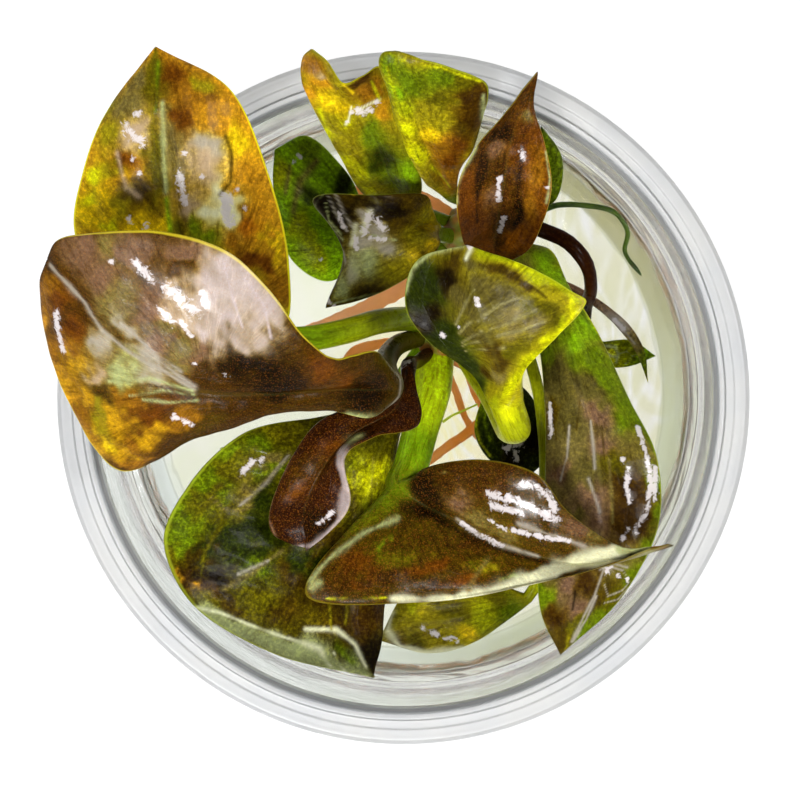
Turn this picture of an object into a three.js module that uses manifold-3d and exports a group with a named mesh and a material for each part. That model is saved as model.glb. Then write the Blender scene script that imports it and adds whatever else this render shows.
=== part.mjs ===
import * as THREE from 'three';
import { mergeVertices } from 'three/addons/utils/BufferGeometryUtils.js';
import Module from 'manifold-3d';

// Young sword plants growing in the gel of a clear tissue-culture cup
// Lengths are in millimetres, and +Z is up
// The origin is the middle of the cup's flat underside
// Seen from above with +Y up the page, the big leaves hang over the rim at the left and at the back

// Cup
const cupHeight = 55;
const rimRadius = 50;
const footRadius = 40.6;
const wallTopRadius = 45.9;
const wallFootRadius = 44.6;
const wallThickness = 0.9;
const floorThickness = 1.2;
const skirtDepth = 5;
const seatDepth = 2.6;
const cupSides = 36;

// Gel
const gelTop = 20;
const fitGap = 0.3;
const meniscusRise = 1;

// Rootstocks
const crownTop = 27;
const crownBottom = 12;
const crownFront = { x: 5, y: 8.5, radius: 4 };
const crownBack = { x: 9.5, y: 24, radius: 4.6 };
const crownSides = 12;

// Leaves
const bladeThickness = 0.7;
const stalkFlatness = 0.85;
const neckBlend = 0.14;
const halfSteps = 3;
const stepsPerSpan = 20;

// Roots
const rootSides = 6;
const rootSteps = 7;

// Every leaf has a stalk from its rootstock to its neck, then a midrib from neck to tip
// left and right are the blade's margins from neck to tip, as seen by one who walks towards the tip
// radius is the stalk's at the rootstock and at the neck, and bulge lifts each half of the blade
const leaves = {
  leaf_upper_left: {
    from: crownFront,
    colour: 0xa08a1c,
    radius: [1.3, 1.9],
    stalk: [[2.6, 10.9, 22.4], [0, 11.4, 34], [-4, 11, 45], [-9, 9.5, 53], [-15, 8.5, 57.5], [-21.5, 9, 60]],
    rib: [[-27, 11, 62], [-29.5, 16.5, 65], [-31.5, 24, 68], [-32.5, 32.5, 70], [-33.5, 41.5, 71], [-34.5, 50, 69]],
    left: [[-32, 7.5, 61], [-41.5, 13, 61], [-46.5, 23.5, 64], [-45, 32.5, 67], [-41.5, 41, 69]],
    right: [[-17, 10, 60], [-16, 19.5, 62], [-19, 33, 66], [-24, 44, 69]],
    bulge: 1.5,
  },
  leaf_left: {
    from: crownFront,
    colour: 0x6b4a3a,
    radius: [1.3, 2.6],
    stalk: [[2.2, 8.6, 24.4], [-1.2, 7.6, 33], [-2.8, 5.2, 44], [-2.4, 2.8, 55]],
    rib: [
      [-2, 1.8, 62], [-5, 1.5, 67.5], [-9.5, 1.5, 71.5], [-19, 1, 75], [-29, 1.5, 76],
      [-36, 5, 77], [-41, 9.5, 78], [-45.5, 15.5, 78], [-49, 20, 77],
    ],
    left: [
      [-4.5, -2.5, 68], [-10, -1.5, 70], [-17.5, -1.5, 72], [-28.5, -5.5, 70],
      [-40, -10, 66], [-47, 0, 68], [-50, 9.5, 71], [-50.5, 16, 74],
    ],
    right: [
      [-3.5, 7, 70], [-8.5, 6, 75], [-13, 9.5, 80], [-22, 20, 83],
      [-31.5, 23.5, 83], [-38, 24, 82], [-43.5, 23.5, 80], [-47.5, 22.5, 79],
    ],
    bulge: 1,
  },
  leaf_red: {
    from: crownFront,
    colour: 0x4a2312,
    radius: [1.1, 1.2],
    stalk: [[3.2, 6.2, 25], [2.2, 4.9, 31], [1.6, 4.9, 36]],
    rib: [[1.5, 4.5, 40], [1, 1.5, 44], [-1.5, -2, 48], [-7.5, -5.5, 51], [-12, -11, 51], [-14.5, -17, 49], [-14, -22, 47]],
    left: [[3.5, 2.5, 43], [2.5, -4, 46], [-4, -6, 51], [-8, -8.5, 53.5], [-7.5, -15.5, 52]],
    right: [[-1, 1.5, 46], [-7, -1, 50], [-13, -4, 51], [-18, -12, 50], [-19.5, -20, 47]],
    bulge: 0.8,
  },
  leaf_lower_left: {
    from: crownFront,
    colour: 0x5a5a14,
    radius: [1.15, 1.6],
    stalk: [[1.8, 6.8, 21.7], [-0.6, 2.6, 26]],
    rib: [[-1.5, -2, 31], [-4, -8.5, 35.5], [-6, -16, 38], [-8, -24, 38], [-8.5, -31.5, 37], [-7.5, -37, 36], [-5, -42, 35]],
    left: [[-1.5, -8, 33], [-2, -16, 34], [-2.5, -23.5, 34], [-3, -30.5, 34], [-4, -37, 34]],
    right: [[-13, -3, 38], [-24, -5.5, 42], [-32, -13.5, 45], [-35, -21, 47], [-31.5, -29.5, 48], [-20, -37.5, 43]],
    bulge: 1,
  },
  leaf_lower: {
    from: crownFront,
    colour: 0x5c4a18,
    radius: [1.9, 1.6],
    stalk: [[5, 5.4, 22.6], [4.6, 0.6, 29], [3, -5.5, 35], [1, -10.5, 38.5]],
    rib: [[-0.5, -13.5, 40], [3, -16, 43], [8.5, -18.5, 45], [16, -22, 47], [25, -24, 49.5], [32.5, -23, 53], [39, -21, 57]],
    left: [[3, -10.5, 44], [11.5, -9, 49], [19.5, -11, 51], [24, -16.5, 50.5], [32, -21.5, 54]],
    right: [[-8, -19, 43], [-14.5, -29, 45], [2, -30, 46], [18.5, -27.5, 49], [29.5, -24.5, 53]],
    bulge: 1,
  },
  leaf_centre: {
    from: crownFront,
    colour: 0x6d7a1c,
    radius: [1.3, 1.7],
    stalk: [[7.6, 7.2, 25], [9.8, 4, 33], [13, 0, 44], [15.8, -4.6, 53], [16, -3.4, 58]],
    rib: [[15, -0.5, 60], [14, 4.5, 63], [12, 10, 66], [10.5, 15, 67], [9.5, 18.5, 67], [9.5, 22, 66]],
    left: [[10, 3.5, 59], [4, 8, 60], [0.5, 14, 61], [2.5, 20, 63]],
    right: [[20, 3, 65], [25, 10, 69], [26.5, 14.5, 71], [18, 19.5, 69]],
    bulge: -1,
  },
  leaf_dark: {
    from: crownFront,
    colour: 0x1f3a14,
    radius: [1, 0.9],
    stalk: [[8.4, 7.4, 21.4], [11.4, 5, 24.4]],
    rib: [[13.5, 2, 26], [15, -2, 27.5], [16, -5, 28], [17, -8.5, 28], [18.5, -12, 27]],
    left: [[17.5, 1, 26.5], [20.5, -4.5, 27], [20.5, -9.5, 27]],
    right: [[11, -1, 26.5], [10, -5.5, 27.5], [12.5, -10, 27]],
    bulge: 0.5,
  },
  leaf_right: {
    from: crownBack,
    colour: 0x5c6436,
    radius: [1.2, 2],
    stalk: [[12.8, 23.2, 24.4], [15.2, 22.4, 30]],
    rib: [
      [17.5, 21, 35], [20.5, 16, 39], [23.5, 9.5, 42], [26.5, -0.5, 44],
      [28.5, -10.5, 45], [29, -21, 46], [26.5, -30.5, 46.5], [22.8, -37.6, 47],
    ],
    left: [[21.5, 21.5, 36], [24, 16.5, 38], [28, 10, 40], [33, -0.5, 42], [37, -9, 44], [37, -19, 45], [31.5, -29.5, 46]],
    right: [[17.5, 15, 38], [19.5, 8, 40], [20.5, -1.5, 41], [20.5, -12.5, 42], [19.5, -22, 43.5], [20, -31.5, 45.5]],
    bulge: 0.8,
  },
  leaf_bottom: {
    from: crownBack,
    colour: 0x8a8a14,
    radius: [1.2, 0.9],
    stalk: [[9, 20.6, 21.8], [15.5, 12, 31], [19, 3, 35], [20.5, -6, 35], [20.5, -16, 31], [20, -25, 27]],
    rib: [[18, -30.5, 25], [12.5, -32, 26], [6.5, -33.5, 26], [0.5, -34.5, 25], [-4.5, -37, 24]],
    left: [[15, -34, 25], [9.5, -37.5, 24], [2.5, -39, 23]],
    right: [[13.5, -28.5, 26], [7, -28, 26], [0, -29.5, 25]],
    bulge: 0.6,
  },
  leaf_torn: {
    from: crownBack,
    colour: 0x8a7a14,
    radius: [1.1, 1.1],
    stalk: [[6.4, 25.8, 22], [3, 27, 27.5]],
    rib: [[0, 27.5, 34], [-2, 31.5, 42], [-4, 37, 50], [-6.5, 41, 56], [-10, 45.5, 60], [-14, 49.5, 62]],
    left: [[-6, 30, 41], [-9.5, 35.5, 49], [-12, 41, 55], [-13.5, 45.5, 59]],
    right: [[2.5, 31, 42], [0.5, 37.5, 50.5], [-3.5, 48, 59], [-9, 46.5, 61]],
    bulge: 0.6,
  },
  leaf_top: {
    from: crownBack,
    colour: 0x6a7a10,
    radius: [1.2, 1.2],
    stalk: [[9.2, 27.4, 24], [8.4, 29, 30]],
    rib: [[6.5, 30, 38], [4.5, 34, 47], [2.5, 39, 56], [1, 43.5, 61], [0, 47, 65], [-0.5, 49.5, 66]],
    left: [[2, 32.5, 47], [-0.5, 38.5, 55.5], [-2, 44.5, 62], [-3, 48.5, 65]],
    right: [[8, 32.5, 46], [11, 38, 55], [12.5, 44.5, 61], [6.5, 48, 65.5]],
    bulge: 0.6,
  },
  leaf_pointed: {
    from: crownBack,
    colour: 0x5a3314,
    radius: [1.2, 1.5],
    stalk: [[10.2, 20.8, 25.5], [11.4, 18.8, 35]],
    rib: [[12.5, 19, 45], [13.5, 24.5, 52], [14.5, 30.5, 57], [15.5, 36.5, 60.5], [17, 41.5, 63], [19.5, 46.5, 66]],
    left: [[8.5, 23.5, 56], [8, 30, 60.5], [10.5, 35.5, 63], [15, 41, 64]],
    right: [[19, 22.5, 55], [21.5, 30, 60], [20.5, 36.5, 62], [19, 41.5, 63.5]],
    bulge: -0.8,
  },
  leaf_behind: {
    from: crownBack,
    colour: 0x4c7a18,
    radius: [1, 0.9],
    stalk: [[12.6, 25.4, 21.8], [17, 28, 32]],
    rib: [[19, 28, 40], [21, 31.5, 45], [21, 36, 48], [20, 39.5, 49]],
    left: [[18.5, 31.5, 44], [19, 36, 47]],
    right: [[22.5, 30, 43], [23, 35, 46.5]],
    bulge: 0.3,
  },
  leaf_round: {
    from: crownBack,
    colour: 0x2c5212,
    radius: [1.2, 1.1],
    stalk: [[6.1, 23, 21.8], [0, 22.4, 24]],
    rib: [[-6, 23.5, 28], [-9, 24.5, 32], [-12.5, 27, 34.5], [-16, 31.5, 36], [-19.5, 36.5, 36]],
    left: [[-11.5, 17, 31], [-17, 20, 33], [-19.5, 28.5, 34]],
    right: [[-6.5, 28.5, 32], [-9.5, 34, 35], [-15, 38.5, 36]],
    bulge: 0.8,
  },
  leaf_grey: {
    from: crownBack,
    colour: 0x53602c,
    radius: [1.2, 1.2],
    stalk: [[6.2, 23.8, 25.4], [4.4, 24.1, 32]],
    rib: [[4, 25, 38], [1.5, 25, 43], [-1.5, 23, 46], [-5.5, 20.5, 47], [-8, 17, 47], [-11.5, 13, 46]],
    left: [[5, 22.5, 42], [3, 19.5, 44], [-2, 16, 45], [-7, 14, 45.5]],
    right: [[3, 29.5, 44], [-4.5, 29.5, 48], [-13.5, 29, 44], [-9, 22, 45]],
    bulge: 0.8,
  },
  leaf_small: {
    from: crownBack,
    colour: 0x4c7020,
    radius: [0.95, 0.95],
    stalk: [
      [11.4, 27, 25.4], [15, 26.4, 35], [20, 24.5, 41], [24, 22.6, 43.5], [26.6, 19.5, 43],
      [27.3, 16, 40], [26.6, 13, 34],
    ],
    rib: [[26.6, 8, 25], [29.5, 6, 24.5], [33.5, 5.5, 24.5], [37, 5, 24]],
    left: [[29.5, 7.5, 24.5], [33.5, 7.5, 24.5]],
    right: [[29.5, 4, 24], [33.5, 4, 24]],
    bulge: 0.3,
  },
  leaf_strip: {
    from: crownBack,
    colour: 0x3c4a28,
    radius: [0.7, 0.6],
    stalk: [[11.6, 21.2, 21.2], [18, 17.5, 27], [23.5, 16.4, 30]],
    rib: [[27, 14.6, 30], [29.5, 11.5, 30], [32.5, 8, 29], [34.5, 5.5, 28], [36, 1.5, 26]],
    left: [[30, 12, 29.6], [33, 8.4, 28.6], [35.2, 5.4, 27.8]],
    right: [[28.9, 11.1, 30], [32, 7.6, 29], [33.9, 5.2, 28]],
    bulge: 0,
  },
};

// Roots wander through the gel from a rootstock, and the runner is the thin green thread on its top
const roots = {
  root_1: {
    radius: [0.7, 0.5],
    path: [[6, 5.5, 16], [8.5, 4, 14], [10, 0, 11], [12, -4, 9]],
  },
  root_2: {
    radius: [0.7, 0.5],
    path: [[8.5, 8, 16], [13, 6, 15], [15.5, 0, 14], [10, -5, 13], [4, -9.5, 12], [-1, -13.5, 10]],
  },
  root_3: {
    radius: [0.7, 0.5],
    path: [[2, 7.5, 17], [-4, 7.6, 15], [-9, 6, 13], [-11.5, 0, 10]],
  },
  root_4: {
    radius: [1, 0.8],
    path: [[6, 21.5, 17], [-1, 16, 15.5], [-7, 13, 14], [-12.5, 10.5, 12], [-18, 8.5, 9]],
  },
  root_5: {
    radius: [0.8, 0.6],
    path: [[7, 26.5, 16], [2.5, 29.5, 15], [-3, 31, 13], [-10, 31, 9]],
  },
  root_6: {
    radius: [0.5, 0.4],
    path: [[5, 5.5, 14], [7, 0, 9], [9, -5.5, 6], [14, -10, 4]],
  },
};
const runner = {
  radius: [0.55, 0.3],
  path: [
    [13.4, 23.8, 21], [18, 26.4, 21.2], [22, 28.4, 21.6], [27, 28.4, 21.6], [31, 27.4, 21.4],
    [33, 24.5, 21.3], [32.6, 21.5, 21.2], [35, 18, 21],
  ],
};

const wasm = await Module();
wasm.setup();

function vectors(points) {
  return points.map((point) => new THREE.Vector3(...point));
}

function smoothCurve(points) {
  const curve = new THREE.CatmullRomCurve3(vectors(points), false, 'centripetal');
  curve.arcLengthDivisions = stepsPerSpan * (points.length - 1);
  return curve;
}

// A solid that can be cut and joined, from a closed geometry
function solidOf(geometry) {
  const bare = geometry.clone();
  bare.deleteAttribute('normal');
  bare.deleteAttribute('uv');
  const merged = mergeVertices(bare, 1e-4);
  const corners = [...merged.index.array];
  const faces = [];
  for (let i = 0; i < corners.length; i += 3) {
    const face = corners.slice(i, i + 3);
    if (new Set(face).size === 3) {
      faces.push(...face);
    }
  }
  return new wasm.Manifold(new wasm.Mesh({
    numProp: 3,
    vertProperties: new Float32Array(merged.attributes.position.array),
    triVerts: new Uint32Array(faces),
  }));
}

function geometryOf(solid) {
  const mesh = solid.getMesh();
  const geometry = new THREE.BufferGeometry();
  geometry.setAttribute('position', new THREE.BufferAttribute(mesh.vertProperties, 3));
  geometry.setIndex(new THREE.BufferAttribute(mesh.triVerts, 1));
  geometry.computeVertexNormals();
  return geometry;
}

// A closed skin over rings of points, with one point closing each end
function skin(start, rings, end) {
  const count = rings[0].length;
  const points = [start, ...rings.flat(), end];
  const lastRing = 1 + (rings.length - 1) * count;
  const faces = [];
  for (let i = 0; i < count; i++) {
    const j = (i + 1) % count;
    faces.push(0, 1 + j, 1 + i);
    for (let ring = 1; ring < lastRing; ring += count) {
      faces.push(ring + i, ring + j, ring + j + count);
      faces.push(ring + i, ring + j + count, ring + i + count);
    }
    faces.push(lastRing + i, lastRing + j, points.length - 1);
  }
  const geometry = new THREE.BufferGeometry().setFromPoints(points);
  geometry.setIndex(faces);
  return geometry;
}

function lathe(profile, sides) {
  const points = profile.map(([radius, height]) => new THREE.Vector2(radius, height));
  return new THREE.LatheGeometry(points, sides).rotateX(Math.PI / 2);
}

// A round tube along a path, thinner towards its end, grown all round by the given amount
function tube({ radius, path }, grow = 0) {
  const curve = smoothCurve(path);
  const frames = curve.computeFrenetFrames(rootSteps, false);
  const rings = [];
  for (let step = 0; step <= rootSteps; step++) {
    const along = step / rootSteps;
    const centre = curve.getPointAt(along);
    const size = THREE.MathUtils.lerp(...radius, along) + grow;
    const ring = [];
    for (let side = 0; side < rootSides; side++) {
      const turn = (2 * Math.PI * side) / rootSides;
      ring.push(centre.clone()
        .addScaledVector(frames.normals[step], size * Math.cos(turn))
        .addScaledVector(frames.binormals[step], size * Math.sin(turn)));
    }
    rings.push(ring);
  }
  const tipReach = radius[1] + grow;
  const start = curve.getPointAt(0).addScaledVector(curve.getTangentAt(0), -grow);
  const end = curve.getPointAt(1).addScaledVector(curve.getTangentAt(1), tipReach);
  return skin(start, rings, end);
}

// The middle surface of a leaf, halfway through its thickness
// along runs from 0 at the rootstock to 1 at the tip, and across from -1 (right) to 1 (left)
function leafSurface(leaf) {
  const spine = smoothCurve([...leaf.stalk, ...leaf.rib]);
  const lengths = spine.getLengths();
  const neck = lengths[stepsPerSpan * leaf.stalk.length] / lengths.at(-1);
  const base = new THREE.Vector3(...leaf.rib[0]);
  const spread = new THREE.Vector3(...leaf.left[0]).sub(new THREE.Vector3(...leaf.right[0]));
  const sideAt = (along) => {
    const tangent = spine.getTangentAt(along);
    return spread.clone().addScaledVector(tangent, -spread.dot(tangent)).normalize();
  };
  const stalkRadius = (along) => THREE.MathUtils.lerp(...leaf.radius, Math.min(along / neck, 1));
  const neckSide = sideAt(neck).multiplyScalar(leaf.radius[1]);
  const tip = leaf.rib.at(-1);
  const leftMargin = smoothCurve([base.clone().add(neckSide).toArray(), ...leaf.left, tip]);
  const rightMargin = smoothCurve([base.clone().sub(neckSide).toArray(), ...leaf.right, tip]);
  const point = (along, across) => {
    const centre = spine.getPointAt(along);
    if (along <= neck) {
      return centre.addScaledVector(sideAt(along), stalkRadius(along) * across);
    }
    const blade = (along - neck) / (1 - neck);
    const left = leftMargin.getPointAt(blade);
    const right = rightMargin.getPointAt(blade);
    const up = spine.getTangentAt(along).cross(left.clone().sub(right)).normalize();
    const lift = leaf.bulge * Math.sin(Math.PI * Math.abs(across)) * Math.sin(Math.PI * blade);
    return centre.lerp(across > 0 ? left : right, Math.abs(across)).addScaledVector(up, lift);
  };
  return { neck, point, stalkRadius, sideAt, spine };
}

// Half the leaf's thickness: round in the stalk, and thin in the blade with a thicker midrib
function halfThickness(leaf, blade, across, radius) {
  const round = stalkFlatness * radius * Math.sqrt(Math.max(0, 1 - across * across));
  const rib = across === 0 ? 0.5 * radius * (1 - blade) : 0;
  const thin = Math.abs(across) === 1 ? 0 : bladeThickness / 2 + rib;
  return THREE.MathUtils.lerp(round, thin, THREE.MathUtils.smoothstep(blade, 0, neckBlend));
}

function leafGeometry(leaf) {
  const { neck, point, stalkRadius, sideAt, spine } = leafSurface(leaf);
  const stalkRows = leaf.stalk.length + 1;
  const bladeRows = leaf.rib.length + 2;
  const alongs = [];
  for (let row = 0; row < stalkRows; row++) {
    alongs.push((neck * row) / stalkRows);
  }
  for (let row = 0; row < bladeRows; row++) {
    alongs.push(neck + ((1 - neck) * row) / bladeRows);
  }
  const rings = alongs.map((along) => {
    const blade = Math.max(0, (along - neck) / (1 - neck));
    const top = [];
    const bottom = [];
    for (let step = -halfSteps; step <= halfSteps; step++) {
      const even = step / halfSteps;
      const round = Math.sin((Math.PI / 2) * even);
      const across = THREE.MathUtils.lerp(round, even, THREE.MathUtils.smoothstep(blade, 0, neckBlend));
      const middle = point(along, across);
      const tangent = spine.getTangentAt(along);
      const chord = blade > 0 ? point(along, 1).sub(point(along, -1)) : sideAt(along);
      const normal = tangent.cross(chord).normalize();
      const half = halfThickness(leaf, blade, across, stalkRadius(along));
      top.push(middle.clone().addScaledVector(normal, half));
      bottom.push(middle.clone().addScaledVector(normal, -half));
    }
    return [...bottom.slice(0, -1), ...top.reverse().slice(0, -1)];
  });
  return skin(point(0, 0), rings, point(1, 0));
}

const part = new THREE.Group();

function addPiece(name, geometry, colour, roughness, extras = {}) {
  const material = new THREE.MeshStandardMaterial({ color: colour, roughness, metalness: 0, ...extras });
  const mesh = new THREE.Mesh(geometry, material);
  mesh.name = name;
  part.add(mesh);
}

// The cup's outline: underside, rounded foot, wall, rim with its skirt, lid seat, wall and floor
function cupProfile() {
  const inside = wallTopRadius - wallThickness;
  return [
    [0, 0],
    [footRadius, 0],
    [footRadius + 2.2, 0.9],
    [wallFootRadius - 0.5, 2.7],
    [wallFootRadius, 5.2],
    [wallTopRadius, cupHeight - 2.2],
    [rimRadius - 1, cupHeight - 1.6],
    [rimRadius - 0.9, cupHeight - skirtDepth],
    [rimRadius, cupHeight - skirtDepth],
    [rimRadius, cupHeight - 0.8],
    [rimRadius - 0.8, cupHeight],
    [wallTopRadius + 0.3, cupHeight],
    [wallTopRadius - 0.2, cupHeight - 0.6],
    [wallTopRadius - 0.3, cupHeight - seatDepth + 0.4],
    [inside, cupHeight - seatDepth],
    [wallFootRadius - wallThickness, 5.6],
    [wallFootRadius - wallThickness - 0.5, 3.6],
    [footRadius + 1.6, 2],
    [footRadius - 0.4, floorThickness],
    [0, floorThickness],
  ];
}

// The gel fills the foot of the cup and climbs a little where it meets the wall
function gelProfile() {
  const wallAt = (height) => THREE.MathUtils.mapLinear(
    height, 5.6, cupHeight - seatDepth, wallFootRadius - wallThickness, wallTopRadius - wallThickness);
  return [
    [0, floorThickness + fitGap],
    [footRadius - 0.6, floorThickness + fitGap],
    [footRadius + 1.2, 2.5],
    [wallFootRadius - wallThickness - 0.9, 4],
    [wallAt(5.8) - fitGap, 5.8],
    [wallAt(gelTop + meniscusRise) - fitGap, gelTop + meniscusRise],
    [wallAt(gelTop) - 1.6, gelTop],
    [0, gelTop],
  ];
}

function crownProfile(radius, grow = 0) {
  return [
    [0, crownBottom - grow],
    [radius * 0.55 + grow, crownBottom + 0.8 - grow],
    [radius * 0.9 + grow, crownBottom + 4],
    [radius + grow, gelTop],
    [radius * 0.85 + grow, crownTop - 1.6],
    [radius * 0.45 + grow, crownTop + grow],
    [0, crownTop + 0.4 + grow],
  ];
}

function crownSolid({ x, y, radius }, grow) {
  return solidOf(lathe(crownProfile(radius, grow), crownSides).translate(x, y, 0));
}

const grownCrowns = new Map([crownFront, crownBack].map((crown) => [crown, crownSolid(crown, fitGap)]));

addPiece('cup', lathe(cupProfile(), cupSides), 0xe8ecec, 0.1, { transparent: true, opacity: 0.35 });

let gel = solidOf(lathe(gelProfile(), cupSides));
for (const grown of grownCrowns.values()) {
  gel = gel.subtract(grown);
}
for (const root of Object.values(roots)) {
  gel = gel.subtract(solidOf(tube(root, fitGap)));
}
addPiece('gel', geometryOf(gel), 0xe4e8c4, 0.2, { transparent: true, opacity: 0.6 });

addPiece('crown_front', geometryOf(crownSolid(crownFront, 0)), 0x7a9a2c, 0.5);
addPiece('crown_back', geometryOf(crownSolid(crownBack, 0)), 0x7a9a2c, 0.5);

for (const [name, leaf] of Object.entries(leaves)) {
  const whole = solidOf(leafGeometry(leaf));
  addPiece(name, geometryOf(whole.subtract(grownCrowns.get(leaf.from))), leaf.colour, 0.35);
}

for (const [name, root] of Object.entries(roots)) {
  let solid = solidOf(tube(root));
  for (const grown of grownCrowns.values()) {
    solid = solid.subtract(grown);
  }
  addPiece(name, geometryOf(solid), 0xd08850, 0.5);
}
const thread = solidOf(tube(runner)).subtract(grownCrowns.get(crownBack));
addPiece('runner', geometryOf(thread), 0x4a7a1c, 0.4);

export default part;
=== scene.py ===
"""Young sword plants growing in the gel of a clear tissue-culture cup, seen from above.

The tables are in millimetres, with +Z up and the origin in the middle of the cup's underside.
The meshes are in metres.
"""
import bpy
import numpy as np
from mathutils import Matrix, Vector


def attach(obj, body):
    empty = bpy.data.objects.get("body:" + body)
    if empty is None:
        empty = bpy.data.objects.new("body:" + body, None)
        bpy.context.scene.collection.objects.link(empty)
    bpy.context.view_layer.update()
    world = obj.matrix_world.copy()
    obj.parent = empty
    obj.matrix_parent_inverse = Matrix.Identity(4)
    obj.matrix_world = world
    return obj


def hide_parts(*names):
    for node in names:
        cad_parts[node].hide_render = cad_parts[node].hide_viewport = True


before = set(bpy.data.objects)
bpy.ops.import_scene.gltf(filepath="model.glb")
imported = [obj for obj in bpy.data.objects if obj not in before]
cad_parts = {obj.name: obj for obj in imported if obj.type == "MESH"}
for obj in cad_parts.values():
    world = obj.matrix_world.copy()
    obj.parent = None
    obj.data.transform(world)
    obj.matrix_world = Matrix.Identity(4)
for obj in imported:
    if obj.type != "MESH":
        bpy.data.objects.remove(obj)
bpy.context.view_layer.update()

# One millimetre in metres
MM = 0.001

# Places that a curve is read at between two of its control points
SPAN_STEPS = 60

# Colours as they are under even white light, red, green and blue from 0 to 1. Lilac, mauve, silver, drab and
# cream also paint sheen and highlights on some leaves
COLOURS = {
    "lime": (0.72, 0.74, 0.004),
    "sap": (0.40, 0.44, 0.004),
    "shoot": (0.76, 1.0, 0.008),
    "fresh": (0.26, 0.48, 0.005),
    "leaf": (0.14, 0.21, 0.003),
    "moss": (0.018, 0.027, 0.0012),
    "olive": (0.115, 0.100, 0.002),
    "khaki": (0.32, 0.27, 0.006),
    "drab": (0.20, 0.155, 0.038),
    "dusk": (0.115, 0.092, 0.018),
    "willow": (0.30, 0.27, 0.10),
    "gold": (0.56, 0.31, 0.006),
    "yellow": (0.84, 0.60, 0.006),
    "amber": (0.62, 0.30, 0.010),
    "orange": (0.50, 0.16, 0.005),
    "tan": (0.30, 0.13, 0.006),
    "rust": (0.135, 0.040, 0.002),
    "umber": (0.062, 0.036, 0.0015),
    "bark": (0.052, 0.022, 0.0015),
    "maroon": (0.030, 0.007, 0.001),
    "soot": (0.008, 0.004, 0.0008),
    "plum": (0.21, 0.115, 0.066),
    "mauve": (0.50, 0.37, 0.24),
    "lilac": (0.56, 0.47, 0.46),
    "silver": (0.42, 0.38, 0.31),
    "cream": (0.92, 0.93, 0.62),
    "mist": (0.42, 0.47, 0.20),
}
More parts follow.
